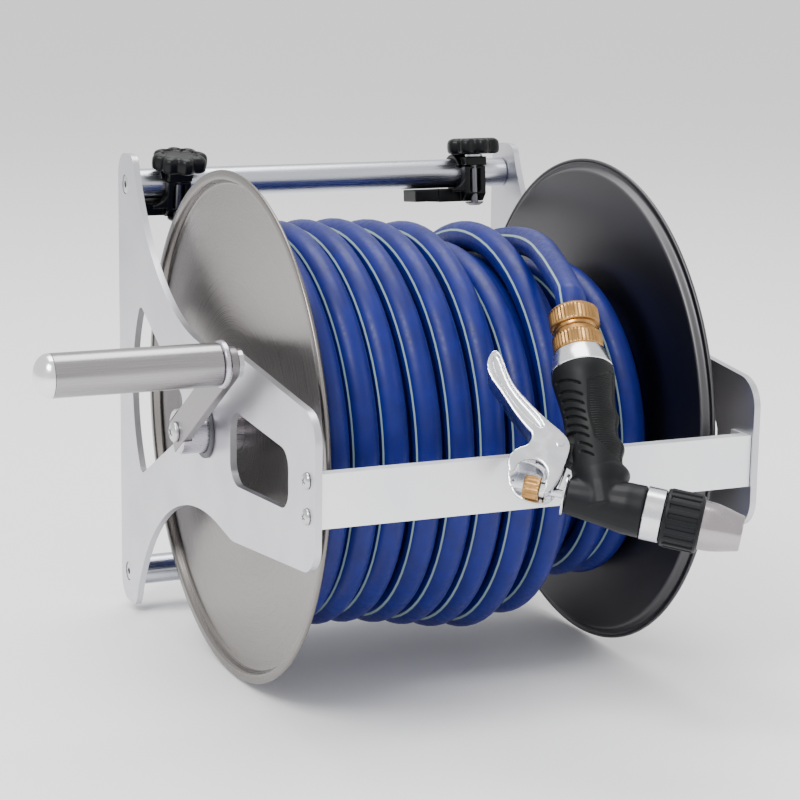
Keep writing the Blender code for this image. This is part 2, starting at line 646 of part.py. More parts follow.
def build_crank(mats, axis):
    """The flat arm let into the hub, its screw, and the grip's spindle."""
    grip_place = Matrix.Translation((0, GRIP_Y, GRIP_Z))
    arm = extruded("crank_arm", arm_outline(0.0), ARM_FACE, ARM_FACE + ARM_THICKNESS, mats["steel"], axis)
    cut(arm, rod("cut_arm_screw", CRANK_SCREW_SHANK + GAP, ARM_FACE - 0.01, ARM_FACE + 0.02, None, axis, steps=16),
        rod("cut_arm_spindle", SPINDLE_RADIUS + GAP, ARM_FACE - 0.01, ARM_FACE + 0.02, None, axis, grip_place, 20))
    seat = ARM_FACE - GAP
    head = seat - CRANK_SCREW_HEIGHT
    screw = turned("crank_screw", [(head, 0.0), (head, CRANK_SCREW_HEAD * 0.6),
                                   (head + CRANK_SCREW_HEIGHT * 0.5, CRANK_SCREW_HEAD),
                                   (seat, CRANK_SCREW_HEAD), (seat, CRANK_SCREW_SHANK),
                                   (HUB_END + CRANK_SCREW_LENGTH, CRANK_SCREW_SHANK),
                                   (HUB_END + CRANK_SCREW_LENGTH, 0.0)],
                   mats["screw"], axis, steps=16)
    for index in range(2):
        turn = Matrix.Rotation(index * math.pi / 2 + CRANK_ANGLE, 4, "X")
        cut(screw, box(f"cut_crank_screw_{index}", (head - 0.001, -0.0032, -0.0005),
                       (head + 0.0012, 0.0032, 0.0005), None, axis, turn))
    spindle_end = GRIP_START_X - GRIP_LENGTH + 0.008
    flange = ARM_FACE + ARM_THICKNESS
    turned("grip_spindle", [(spindle_end, 0.0), (spindle_end, SPINDLE_RADIUS), (flange + GAP, SPINDLE_RADIUS),
                            (flange + GAP, SPINDLE_RADIUS + 0.003), (flange + 0.003, SPINDLE_RADIUS + 0.003),
                            (flange + 0.003, 0.0)], mats["screw"], axis, grip_place, 16)
    grip = empty("grip_axis", grip_place, axis)
    tube_start = GRIP_START_X - COLLAR_LENGTH - GAP
    tube_end = GRIP_START_X - GRIP_LENGTH
    bore = SPINDLE_RADIUS + GAP
    ring("grip_collar", bore, GRIP_RADIUS + 0.0012, GRIP_START_X - COLLAR_LENGTH, GRIP_START_X,
         mats["steel"], grip, edge=0.0012)
    ring("crank_grip", GRIP_RADIUS - GRIP_WALL, GRIP_RADIUS, tube_end, tube_start, mats["steel"], grip, steps=28)
    cap = [(tube_end - GAP - GRIP_CAP * math.sin(t), GRIP_RADIUS * math.cos(t))
           for t in (math.radians(a) for a in (90, 67, 45, 22, 0))]
    cap[0] = (cap[0][0], 0.0)
    plug = GRIP_RADIUS - GRIP_WALL - GAP
    cap += [(tube_end - GAP, plug), (tube_end + 0.006, plug), (tube_end + 0.006, 0.0)]
    turned("grip_cap", cap, mats["ring"], grip, steps=28)
    return grip


def winding_point(x, radius, angle, sag):
    """A point on the wound hose, in the drum axis's frame."""
    return Vector((x, -radius * math.cos(angle), radius * math.sin(angle) - sag))


def winding_turns():
    """How many turns the outer layer has, from the top at the left disc to where the tail leaves."""
    return TURNS_TO_TOP + 1.0 - (TAIL_START - math.pi / 2) / math.tau


def outer_layer(turn):
    """The outer layer: tight and round at the left, looser and sagging to the right.

    One turn dips between its neighbours at the top, and the last one comes down a little.
    """
    start = -(DISC_FACE - GAP - WINDING_MARGIN - HOSE_RADIUS)
    angle = math.pi / 2 - math.tau * turn
    last = ease((turn - (winding_turns() - 0.9)) / 0.9)
    sway = WINDING_SWAY * ease((turn - 3) / 3) * (1 - last)
    dip = WINDING_DIP * max(0.0, math.sin(angle)) ** 2 if abs(turn - DIPPED_TURN) < 0.25 else 0.0
    x = (start + WINDING_PITCH * turn + WINDING_SPREAD * max(0.0, turn - 2.5)
         + sway * (math.sin(angle) - math.cos(angle)) + WINDING_LAST_STEP * last)
    radius = WINDING_RADIUS + WINDING_GROWTH * max(0.0, turn - 2) - dip - LAST_TURN_DROP * last
    return winding_point(x, radius, angle, WINDING_SAG * ease((turn - 2) / 5))


def low_turn(turn):
    """The turns of the layer below that show beside the right disc."""
    start = DISC_FACE - GAP - WINDING_MARGIN - HOSE_RADIUS - LOW_TURN_PITCH * LOW_TURNS
    return winding_point(start + LOW_TURN_PITCH * turn, LOW_TURN_RADIUS,
                         LOW_TURN_START - math.tau * turn, WINDING_SAG)


def wound_route(layer, turns):
    """Points of a wound layer, with a straight run of one hose diameter at each end."""
    count = round(turns * LOOP_POINTS)
    points = [layer(turns * i / count) for i in range(count + 1)]
    first = (points[0] - points[1]).normalized() * 2 * HOSE_RADIUS
    last = (points[-1] - points[-2]).normalized() * 2 * HOSE_RADIUS
    return [points[0] + first] + points + [points[-1] + last]


def riser(name, route, at_start):
    """The hose climbing out of the core to the end of a wound layer."""
    if not at_start:
        route = list(reversed(route))
    ahead = (route[0] - route[1]).normalized()
    start = route[0] + ahead * GAP
    bend = start + ahead * HOSE_RADIUS
    centre = Vector((bend.x, 0.0, -WINDING_SAG))
    spoke = bend - centre
    sense = 1.0 if spoke.cross(ahead).x > 0 else -1.0
    points = [start, bend]
    for i in range(1, 6):
        t = i / 5
        turn = Matrix.Rotation(sense * 0.42 * t, 3, "X")
        points.append(centre + turn @ spoke * (1.0 - 0.24 * ease(t)))
    return tube_mesh(name, points, HOSE_RADIUS)


def least_gap(routes):
    """The smallest gap between turns, measured between points on the hose's middle line."""
    least = 1.0
    fine = []
    for index, route in enumerate(routes):
        dense = []
        for a, b in zip(route, route[1:]):
            dense += [a.lerp(b, k / 4) for k in range(4)]
        fine.append((index, np.array([tuple(p) for p in dense])))
    apart = LOOP_POINTS * 4 // 2
    for index, points in fine:
        for other, others in fine:
            if other < index:
                continue
            span = np.linalg.norm(points[:, None, :] - others[None, :, :], axis=2)
            if other == index:
                order = np.abs(np.subtract.outer(np.arange(len(points)), np.arange(len(points))))
                span = np.where(order < apart, 1.0, span)
            least = min(least, float(span.min()))
    return least - 2 * HOSE_RADIUS


def build_hose(mats, axis):
    """The hose on the drum: a plain core, the outer layer, and the low turns beside the right disc."""
    outer_turns = winding_turns()
    outer = wound_route(outer_layer, outer_turns)
    low = wound_route(low_turn, LOW_TURNS)
    tube_curve("hose_winding", outer, HOSE_RADIUS, mats["hose"], axis)
    tube_curve("hose_low_turns", low, HOSE_RADIUS, mats["hose"], axis)
    print("least gap between turns, mm:", round(least_gap([outer, low]) * 1000, 2))

    seat = HOSE_RADIUS + GAP
    inward = math.cos(math.pi / LOOP_POINTS)
    high = (WINDING_RADIUS - max(WINDING_DIP, WINDING_SAG)) * inward - seat
    middle = (WINDING_RADIUS + WINDING_GROWTH * (outer_turns - 2) - LAST_TURN_DROP) * inward - seat
    middle = min(middle, high)
    floor = LOW_TURN_RADIUS * inward - seat
    reach = DISC_FACE - 2 * GAP
    first_step = outer_layer(outer_turns - 0.9).x - HOSE_RADIUS
    second_step = low[1].x - HOSE_RADIUS - 2 * GAP
    profile = [(-reach, 0.0), (-reach, high), (first_step, high), (first_step + 0.004, middle),
               (second_step - 0.001, middle), (second_step, floor), (reach, floor), (reach, 0.0)]
    core = turned("hose_core", profile, mats["hose"], axis, Matrix.Translation((0, 0, -WINDING_SAG)), 40)
    risers = [riser("join_riser_left", outer, True), riser("join_riser_low_start", low, True),
              riser("join_riser_low_end", low, False)]
    for piece in risers:
        piece.parent = axis
    unite(core, *risers)
    return cut(core, rod("cut_core_bore", BARREL_RADIUS + GAP, -DRUM_WIDTH, DRUM_WIDTH, None, axis, steps=32))


def build_drum(mats):
    """Everything that turns with the crank."""
    axis = empty("drum_axis", Matrix.Translation(AXIS))
    for label, side in (("left", -1), ("right", 1)):
        disc(f"{label}_disc", side, mats, axis)
        barrel_plug(f"{label}_barrel_plug", side, mats, axis)
    drum_barrel(mats, axis)
    main_axle(mats, axis)
    build_crank(mats, axis)
    build_hose(mats, axis)
    return axis


def inlet_pipe_x():
    """Where the inlet's pipe meets the axle's end."""
    return PLATE_OUTER + ADAPTER_RADIUS + 0.0030


def build_inlet(mats):
    """The swivel elbow on the axle's end and the threaded adapter under it."""
    frame = empty("inlet_axis", Matrix.Translation(AXIS))
    bore = AXLE_RADIUS + GAP
    shell = bore + INLET_WALL
    end = INLET_START + INLET_LENGTH
    elbow = turned("inlet_elbow", [(INLET_START, bore), (INLET_START, shell - 0.001), (INLET_START + 0.001, shell),
                                   (end - 0.002, shell), (end, shell - 0.002), (end, 0.0),
                                   (end - INLET_WALL, 0.0), (end - INLET_WALL, bore)][::-1], mats["brass"], frame)
    pipe_place = Matrix.Translation((inlet_pipe_x(), 0, 0)) @ ALONG_Z
    top = -(bore + INLET_WALL * 0.4)
    pipe = rod("join_inlet_pipe", INLET_PIPE_RADIUS, -INLET_DROP, top, None, frame, pipe_place, 20)
    water = rod("cut_inlet_water", INLET_BORE, -INLET_DROP - 0.005, -AXLE_RADIUS * 0.9, None, frame, pipe_place, 16)
    unite(elbow, pipe)
    cut(elbow, water)
    low = -INLET_DROP - GAP
    thread = low - ADAPTER_LENGTH
    collar = low - ADAPTER_LENGTH * 0.4
    turned("inlet_adapter", [(low, INLET_BORE), (low, ADAPTER_RADIUS + 0.002), (collar, ADAPTER_RADIUS + 0.002),
                             (collar, ADAPTER_RADIUS), (thread + 0.001, ADAPTER_RADIUS),
                             (thread, ADAPTER_RADIUS - 0.001), (thread, INLET_BORE)],
           mats["brass"], frame, pipe_place, 20)
    return frame


def gun_matrix():
    """The gun's frame: X along its barrel, Z up in the plane of barrel and handle."""
    turn = (Matrix.Rotation(-GUN_YAW, 4, "Z") @ Matrix.Rotation(GUN_DOWN, 4, "Y")
            @ Matrix.Rotation(-GUN_LEAN, 4, "X"))
    return Matrix.Translation(AXIS + GUN_PLACE) @ turn


def handle_matrix():
    """The handle's frame inside the gun's: X runs up the handle."""
    return Matrix.Rotation(-HANDLE_ANGLE, 4, "Y") @ Matrix.Translation((0, 0, HANDLE_OFFSET))


def gun_body(mats, gun):
    """The barrel and the handle's core in one casting, with a lug for the trigger."""
    body = turned("gun_body", [(-BARREL_REAR, 0.0), (-BARREL_REAR, BARREL_REAR_RADIUS),
                               (0.0, BARREL_REAR_RADIUS + 0.0024), (BARREL_FRONT * 0.5, BARREL_FRONT_RADIUS),
                               (BARREL_FRONT, BARREL_FRONT_RADIUS), (BARREL_FRONT, 0.0)], mats["shell"], gun)
    core = rod("join_handle_core", HANDLE_CORE, -0.002, GRIP_END + GRIP_RING, None, gun, handle_matrix(), 20)
    neck = turned("join_handle_neck", [(-0.004, 0.0), (-0.004, 0.0125), (GRIP_START - GAP, 0.0128),
                                       (GRIP_START - GAP, 0.0)], None, gun, handle_matrix(), 20)
    lug = trigger_lug("join_trigger_lug", 0.0, gun)
    unite(body, core, neck, lug)
    handle_bore = rod("cut_handle_bore", HANDLE_BORE, 0.004, GRIP_END + 0.03, None, gun, handle_matrix(), 14)
    chamber = rod("cut_gun_chamber", BARREL_CHAMBER, -0.010, BARREL_FRONT + 0.01, None, gun, steps=18)
    stem_bore = rod("cut_stem_bore", STEM_RADIUS + GAP, -BARREL_REAR - 0.01, 0.0, None, gun, steps=10)
    pin_bore = rod("cut_pin_bore", PIVOT_RADIUS + GAP, -0.02, 0.02, None, gun, pivot_matrix(), 10)
    return cut(body, handle_bore, chamber, stem_bore, pin_bore)


def pivot_matrix():
    """The trigger's pivot: X runs across the gun."""
    return Matrix.Translation(TRIGGER_PIVOT) @ SIDE_VIEW


def trigger_lug(name, clearance, gun):
    """The lug that carries the trigger's pivot, grown by a clearance to cut the rubber round it."""
    c = clearance
    outline = rounded([(-0.012, 0.012 - c, 0), (-0.010, 0.027 + c, 0), (-0.0340 - c, 0.0285 + c, 0.0030),
                       (-0.0340 - c, 0.0205 - c, 0.0030)], 3)
    half = LUG_WIDTH / 2 + c
    return extruded(name, outline, -half, half, None, gun, SIDE_VIEW)


def gun_grip(mats, gun):
    """The rubber sleeve on the handle, swelling towards its upper end."""
    inner = HANDLE_CORE + GAP
    length = GRIP_END - GRIP_START
    swell = [(0.0, 0.0128), (0.06, 0.0134), (0.25, 0.0132), (0.45, 0.0139), (0.62, 0.0144),
             (0.78, 0.0158), (0.92, 0.0170), (1.0, 0.0166)]
    profile = [(GRIP_START, inner)] + [(GRIP_START + length * t, r) for t, r in swell] + [(GRIP_END, inner)]
    sleeve = turned("grip_sleeve", profile, mats["rubber"], gun, handle_matrix(), 24)
    half = TRIGGER_WIDTH / 2 + 0.0006
    seat = box("cut_sleeve_seat", (-0.050, -half, 0.0), (-0.0237, half, 0.0325), None, gun)
    return cut(sleeve, seat, trigger_lug("cut_sleeve_lug", GAP, gun))


def trigger(mats, gun, pivot):
    """The folded lever: a web along its outer edge and two cheeks beside the lug."""
    lever = [(-0.0785, 0.0712), (-0.0735, 0.0700), (-0.0665, 0.0575), (-0.0592, 0.0495), (-0.0425, 0.0378),
             (-0.0318, 0.0322), (-0.0246, 0.0262), (-0.0254, 0.0142), (-0.0268, 0.0040), (-0.0300, -0.0052),
             (-0.0400, -0.0062), (-0.0490, -0.0040), (-0.0545, 0.0040), (-0.0560, 0.0110), (-0.0525, 0.0170),
             (-0.0466, 0.0202), (-0.0462, 0.0270), (-0.0506, 0.0296), (-0.0591, 0.0369), (-0.0680, 0.0466),
             (-0.0763, 0.0540), (-0.0804, 0.0620)]
    half = TRIGGER_WIDTH / 2
    shift = [(y - TRIGGER_PIVOT.x, z - TRIGGER_PIVOT.z) for y, z in lever]
    piece = extruded("trigger", shift, -half, half, mats["chrome"], pivot, SIDE_VIEW)
    inside = LUG_WIDTH / 2 + GAP
    channel = [(-0.0640, 0.0590), (-0.0560, 0.0520), (-0.0400, 0.0400), (-0.0200, 0.0300), (-0.0180, -0.0120),
               (-0.0290, -0.0120), (-0.0290, 0.0060), (-0.0450, 0.0185), (-0.0452, 0.0290), (-0.0570, 0.0400)]
    pocket = [(-0.0800, -0.0200), (-0.0328, -0.0200), (-0.0328, 0.0118), (-0.0430, 0.0176), (-0.0600, 0.0160)]
    for label, outline, room in (("channel", channel, inside), ("pocket", pocket, half - TRIGGER_WALL)):
        moved = [(y - TRIGGER_PIVOT.x, z - TRIGGER_PIVOT.z) for y, z in outline]
        cut(piece, extruded(f"cut_trigger_{label}", moved, -room, room, None, pivot, SIDE_VIEW))
    window = Matrix.Translation((-0.0420 - TRIGGER_PIVOT.x, 0, 0.0040 - TRIGGER_PIVOT.z)) @ SIDE_VIEW
    stem = Matrix.Translation((-TRIGGER_PIVOT.x, 0, -TRIGGER_PIVOT.z))
    return cut(piece,
               rod("cut_trigger_window", 0.0086, inside - 0.001, half + 0.005, None, pivot, window, 20),
               box("cut_trigger_stem", (-0.06, -STEM_RADIUS - 0.0008, -0.0045), (0.0, STEM_RADIUS + 0.0008, 0.0045),
                   None, pivot, stem),
               rod("cut_trigger_pin", PIVOT_RADIUS + GAP, -0.02, 0.02, None, pivot, SIDE_VIEW, 10))


def build_gun(mats):
    """The spray gun, parked in front of the bar, and the couplings on the hose's end."""
    gun = empty("gun_frame", gun_matrix())
    handle = handle_matrix()
    gun_body(mats, gun)
    gun_grip(mats, gun)
    ring_start = GRIP_END + GAP
    bore = HANDLE_CORE + GAP
    turned("grip_ring", [(ring_start, bore), (ring_start, GRIP_RING_RADIUS),
                         (ring_start + GRIP_RING, GRIP_RING_TOP),
                         (ring_start + GRIP_RING, bore)], mats["ring"], gun, handle, 24)
    swivel = empty("hose_swivel_axis", handle, gun)
    nut_start = COUPLER_START
    nut_end = nut_start + SWIVEL_NUT
    turned("hose_swivel_nut", [(nut_start, HANDLE_BORE + 0.002), (nut_start, NUT_RADIUS - 0.0004),
                               (nut_start + SWIVEL_NUT * 0.72, NUT_RADIUS), (nut_start + SWIVEL_NUT * 0.80, 0.0118),
                               (nut_end, 0.0112), (nut_end, HANDLE_BORE + 0.002)], mats["brass"], swivel)
    hose_start = nut_end + GAP
    turned("hose_coupling_nut", [(hose_start, 0.0), (hose_start, 0.0116), (hose_start + HOSE_NUT * 0.14, NUT_RADIUS),
                                 (COUPLER_END - 0.0022, NUT_RADIUS), (COUPLER_END, NUT_RADIUS - 0.0022),
                                 (COUPLER_END, 0.0)], mats["brass"], gun, handle, 24)
    ring("gland_ring", STEM_RADIUS + GAP, BARREL_REAR_RADIUS + 0.0012, -BARREL_REAR - GAP - 0.0014,
         -BARREL_REAR - GAP, mats["chrome"], gun)
    ring_end = BARREL_FRONT + GAP + BARREL_RING
    ring("barrel_ring", BARREL_CHAMBER, BARREL_FRONT_RADIUS + 0.0004, BARREL_FRONT + GAP, ring_end,
         mats["ring"], gun, edge=0.0006)
    nozzle = empty("nozzle_axis", Matrix(), gun)
    collar_start = ring_end + GAP
    collar_end = collar_start + NOZZLE_RING
    ring("nozzle_ring", NOZZLE_TIP_RADIUS + 0.0004, NOZZLE_RING_RADIUS, collar_start, collar_end,
         mats["shell"], nozzle, edge=0.0012)
    tip_start = collar_start + NOZZLE_RING * 0.3
    tip_end = collar_end + NOZZLE_TIP
    turned("nozzle_tip", [(tip_start, NOZZLE_TIP_RADIUS - NOZZLE_WALL), (tip_start, NOZZLE_TIP_RADIUS),
                          (collar_end, NOZZLE_TIP_RADIUS), (collar_end + NOZZLE_TIP * 0.5, NOZZLE_TIP_RADIUS - 0.0012),
                          (tip_end, NOZZLE_MOUTH_RADIUS), (tip_end, NOZZLE_MOUTH_RADIUS - NOZZLE_WALL),
                          (collar_end + NOZZLE_TIP * 0.5, NOZZLE_TIP_RADIUS - 0.0012 - NOZZLE_WALL)],
           mats["ring"], nozzle)
    ring_seat = STEM_RADIUS + GAP
    turned("valve_stem", [(-STEM_REACH, 0.0), (-STEM_REACH, STEM_RADIUS), (-0.0356, STEM_RADIUS),
                          (-0.0356, 0.0040), (-0.0331, 0.0040), (-0.0331, STEM_RADIUS), (-0.0008, STEM_RADIUS),
                          (-0.0008, BARREL_CHAMBER - 0.002), (0.008, BARREL_CHAMBER - 0.002), (0.014, 0.0)],
           mats["chrome"], gun, steps=16)
    adjust = empty("adjusting_nut_axis", Matrix(), gun)
    ring("adjusting_nut", ring_seat, 0.0062, -0.0446, -0.0358, mats["brass"], adjust, steps=16, edge=0.0008)
    pivot = empty("trigger_axis", Matrix.Translation(TRIGGER_PIVOT), gun)
    trigger(mats, gun, pivot)
    half = TRIGGER_WIDTH / 2
    turned("trigger_pin", [(-half - 0.0014, 0.0), (-half - 0.0014, 0.0024), (-half - GAP, 0.0034),
                           (-half - GAP, PIVOT_RADIUS), (half + 0.0012, PIVOT_RADIUS), (half + 0.0012, 0.0)],
           mats["chrome"], gun, pivot_matrix(), 12)
    return gun


def build_tail(mats):
    """The free end of the hose, from the drum's last turn over the top to the gun's coupling."""
    outer = wound_route(outer_layer, winding_turns())
    away = (outer[-1] - outer[-2]).normalized()
    start = AXIS + outer[-1] + away * GAP
    handle = gun_matrix() @ handle_matrix()
    end = handle @ Vector((COUPLER_END + GAP, 0, 0))
    down = (handle.to_3x3() @ Vector((1, 0, 0))).normalized()
    points = [start, start + away * HOSE_RADIUS] + [AXIS + Vector(p) for p in TAIL_KNOTS]
    points += [end + down * HOSE_RADIUS, end]
    route = [start] + smooth_route(points, 1.3 * HOSE_RADIUS) + [end]
    tube_curve("hose_tail", route, HOSE_RADIUS, mats["hose"], resolution=2)
    length = sum((b - a).length for a, b in zip(route, route[1:]))
    print("length of the free hose, mm:", round(length * 1000, 1))


def clamp_base(name, mats, clamp):
    """The lower jaw: a saddle with a slotted strap in front, a rear knuckle and a foot."""
    jaw = TUBE_RADIUS + GAP
    front = -(jaw + STRAP_DEPTH)
    rear = jaw + JAW_WALL
    strap_top = LUG_TOP - 0.0062
    outline = [(-0.004, strap_top), (0.0, -0.0013), (rear, -0.0013), (rear, -0.010), (0.009, FOOT_BOTTOM),
               (-0.011, FOOT_BOTTOM), (front, FOOT_BOTTOM + 0.005), (front, strap_top)]
    half = STRAP_WIDTH / 2
    base = extruded(f"{name}_clamp_base", outline, -half, half, mats["clamp"], clamp)
    foot = box(f"join_{name}_foot", (-FOOT_LENGTH, -FOOT_DEPTH / 2 + 0.001, FOOT_BOTTOM),
               (0.001, FOOT_DEPTH / 2 + 0.001, FOOT_TOP), None, clamp)
    knuckle_outline = [(rear - 0.001, -0.0013), (rear - 0.001, -0.006), (rear + 0.0054, -0.006),
                       (rear + 0.0054, 0.0044), (rear + GAP, 0.0044), (rear + GAP, -0.0013)]
    knuckle = extruded(f"join_{name}_knuckle", knuckle_outline, -0.0038, 0.0038, None, clamp)
    unite(base, foot, knuckle)
    slot = box(f"cut_{name}_slot", (-BOLT_NECK - GAP, front - 0.002, -0.0125),
               (BOLT_NECK + GAP, -jaw + 0.002, strap_top - 0.0016), None, clamp)
    bolt = rod(f"cut_{name}_base_bolt", BOLT_RADIUS + GAP, FOOT_BOTTOM - 0.005, LUG_TOP, None, clamp, bolt_matrix(), 12)
    pin = rod(f"cut_{name}_base_pin", CLAMP_PIN_RADIUS + GAP, -0.02, 0.02, None, clamp, clamp_pin_matrix(), 10)
    tube = rod(f"cut_{name}_base_tube", jaw, -0.05, 0.05, None, clamp, steps=24)
    return cut(base, slot, bolt, pin, tube)


def bolt_matrix():
    """The clamp bolt's axis: X runs up it."""
    return Matrix.Translation((0, BOLT_Y, 0)) @ ALONG_Z


def clamp_pin_matrix():
    """The clamp's hinge pin, behind the tube."""
    return Matrix.Translation((0, TUBE_RADIUS + GAP + JAW_WALL + 0.0028, 0.0016))


def clamp_cap(name, mats, clamp):
    """The upper jaw: a half ring with a lug for the bolt and two ears for the pin."""
    jaw = TUBE_RADIUS + GAP
    outer = jaw + JAW_WALL
    outside = arc((0.0, 0.0), outer, math.radians(154), math.radians(3), 12)
    half = CLAMP_WIDTH / 2
    cap = extruded(f"{name}_clamp_cap", outside, -half, half, mats["clamp"], clamp)
    front = BOLT_Y - 0.0046
    lug = box(f"join_{name}_lug", (-STRAP_WIDTH / 2, front, LUG_TOP - 0.0056), (STRAP_WIDTH / 2, -0.002, LUG_TOP),
              None, clamp)
    ears = [box(f"join_{name}_ear_{label}", (low, outer - 0.001, -0.0008), (low + 0.0040, outer + 0.0054, 0.0044),
                None, clamp) for label, low in (("left", -0.0081), ("right", 0.0041))]
    unite(cap, lug, *ears)
    tube = rod(f"cut_{name}_cap_tube", jaw, -0.05, 0.05, None, clamp, steps=24)
    bolt = rod(f"cut_{name}_cap_bolt", BOLT_RADIUS + GAP, 0.0, LUG_TOP + 0.01, None, clamp, bolt_matrix(), 12)
    pin = rod(f"cut_{name}_cap_pin", CLAMP_PIN_RADIUS + GAP, -0.02, 0.02, None, clamp, clamp_pin_matrix(), 10)
    return cut(cap, tube, bolt, pin)


def clamp_knob(name, mats, screw):
    """The star knob: eight soft lobes, a chamfered rim and a shallow dish on top."""
    steps = KNOB_LOBES * 6
    top = KNOB_BASE + KNOB_HEIGHT
    levels = ((KNOB_BASE, 0.90), (KNOB_BASE + 0.0015, 1.0), (top - 0.0022, 1.0), (top, 0.86))
    bm = bmesh.new()
    rows = []
    for height, share in levels:
        row = []
        for i in range(steps):
            angle = math.tau * i / steps
            dent = KNOB_DENT * (0.5 - 0.5 * math.cos(KNOB_LOBES * angle)) ** 2
            radius = (KNOB_RADIUS - dent) * share
            row.append(bm.verts.new((height, radius * math.cos(angle), radius * math.sin(angle))))
        rows.append(row)
    for lower, upper in zip(rows, rows[1:]):
        for i in range(steps):
            k = (i + 1) % steps
            bm.faces.new((lower[i], lower[k], upper[k], upper[i]))
    bm.faces.new(rows[0])
    bm.faces.new(rows[-1])
    knob = finish_mesh(f"{name}_knob", bm, mats["clamp"], screw, Matrix())
    dish = turned(f"cut_{name}_knob_dish", [(top - 0.0012, 0.0), (top - 0.0012, 0.0105), (top + 0.001, 0.0125),
                                            (top + 0.001, 0.0)], None, screw, steps=24)
    bore = rod(f"cut_{name}_knob_bore", BOLT_RADIUS + GAP, KNOB_BASE - 0.001, top - 0.0032, None, screw, steps=12)
    return cut(knob, dish, bore)


def build_clamp(name, side, lean, mats):
    """A pipe clamp round the top tube, closed by its bolt and star knob."""
    place = Matrix.Translation((side * CLAMP_SPACING / 2, 0, 0)) @ Matrix.Rotation(lean, 4, "X")
    clamp = empty(f"{name}_clamp_axis", place)
    clamp_base(name, mats, clamp)
    clamp_cap(name, mats, clamp)
    rod(f"{name}_clamp_pin", CLAMP_PIN_RADIUS, -0.0086, 0.0086, mats["screw"], clamp, clamp_pin_matrix(), 12)
    head = FOOT_BOTTOM - GAP
    top = KNOB_BASE + KNOB_HEIGHT - 0.0040
    turned(f"{name}_clamp_bolt", [(head - BOLT_HEAD_HEIGHT, 0.0), (head - BOLT_HEAD_HEIGHT, BOLT_HEAD_RADIUS * 0.6),
                                  (head - BOLT_HEAD_HEIGHT * 0.4, BOLT_HEAD_RADIUS), (head, BOLT_HEAD_RADIUS),
                                  (head, BOLT_RADIUS), (top, BOLT_RADIUS), (top, 0.0)],
           mats["screw"], clamp, bolt_matrix(), 16)
    screw = empty(f"{name}_knob_axis", bolt_matrix(), clamp)
    washer = LUG_TOP + GAP
    ring(f"{name}_washer", BOLT_RADIUS + GAP, 0.0060, washer, washer + WASHER_THICKNESS, mats["screw"], screw, steps=16)
    clamp_knob(name, mats, screw)
    return clamp


def right_end_block(mats, clamp):
    """The block on the end of the right clamp's foot."""
    low = -FOOT_LENGTH - GAP - END_BLOCK_LENGTH
    outline = [(-FOOT_DEPTH / 2 + 0.001, FOOT_BOTTOM + 0.0006), (FOOT_DEPTH / 2 + 0.001, FOOT_BOTTOM + 0.0006),
               (FOOT_DEPTH / 2 + 0.001, FOOT_TOP), (-FOOT_DEPTH / 2 + 0.001, FOOT_TOP)]
    return extruded("right_clamp_end_block", outline, low, -FOOT_LENGTH - GAP, mats["clamp"], clamp)


def main():
    """Build the whole reel."""
    clear_scene()
    mats = make_materials()
    build_frame(mats)
    build_drum(mats)
    build_inlet(mats)
    build_gun(mats)
    build_tail(mats)
    build_clamp("left", -1, LEFT_CLAMP_LEAN, mats)
    right = build_clamp("right", 1, RIGHT_CLAMP_LEAN, mats)
    right_end_block(mats, right)


main()
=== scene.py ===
"""Looks of the garden hose reel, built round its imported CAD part.

Metres, +Z up. X runs along the drum's axle from the crank to the water inlet, and the front is -Y.
Each sub-assembly is a class that holds its sizes, builds its meshes and dresses them.
"""

import logging
import math
from dataclasses import dataclass
from enum import Enum
from typing import Callable, Iterable, Sequence

import bmesh
import bpy
from mathutils import Matrix, Vector

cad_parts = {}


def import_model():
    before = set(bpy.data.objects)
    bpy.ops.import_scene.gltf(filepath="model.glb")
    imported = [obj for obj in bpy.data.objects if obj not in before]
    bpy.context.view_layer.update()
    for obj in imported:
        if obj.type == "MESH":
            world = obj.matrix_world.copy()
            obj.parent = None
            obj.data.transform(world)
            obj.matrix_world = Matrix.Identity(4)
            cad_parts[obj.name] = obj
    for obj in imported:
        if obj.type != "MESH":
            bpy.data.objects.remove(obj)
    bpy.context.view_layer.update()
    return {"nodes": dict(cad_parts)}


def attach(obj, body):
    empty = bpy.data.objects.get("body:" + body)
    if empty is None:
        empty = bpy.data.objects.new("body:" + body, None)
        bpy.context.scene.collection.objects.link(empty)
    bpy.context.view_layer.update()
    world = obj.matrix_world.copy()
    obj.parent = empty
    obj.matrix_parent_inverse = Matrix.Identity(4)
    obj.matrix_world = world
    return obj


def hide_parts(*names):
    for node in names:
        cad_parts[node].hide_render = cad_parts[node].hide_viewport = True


LOG = logging.getLogger("hose_reel")
Profile = Sequence[tuple[float, float]]
Shape = bmesh.types.BMesh
Object = bpy.types.Object
Tree = bpy.types.NodeTree
Socket = bpy.types.NodeSocket

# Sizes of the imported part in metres. AXIS is a point on the drum's axle, and GAP keeps touching pieces apart.
AXIS = Vector((0.0, -0.150, -0.1264))
TUBE_SPACING = 0.2528
AXLE_DEPTH = 0.150
PLATE_INNER = 0.1305
PLATE_OUTER = 0.1345
DISC_FACE = 0.1133
GAP = 0.0003
HOSE_RADIUS = 0.0085
AXLE_RADIUS = 0.0133


class Body(Enum):
    """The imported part's bodies that dressed pieces ride on."""

    FRAME = "frame"
    DRUM = "drum"
    GRIP = "grip"
    SWIVEL = "hose_swivel"
    TRIGGER = "trigger_lever"
    STEM_NUT = "stem_nut"
    SPRAY_RING = "spray_ring"
    SPRAY_TIP = "spray_tip"
    LEFT_CLAMP = "left_clamp"
    LEFT_KNOB = "left_star_knob"
    RIGHT_CLAMP = "right_clamp"
    RIGHT_KNOB = "right_star_knob"


class Side(Enum):
    """The two ends of the drum's axle."""

    LEFT = -1
    RIGHT = 1

    @property
    def label(self) -> str:
        """The side's name in the nodes."""
        return self.name.lower()


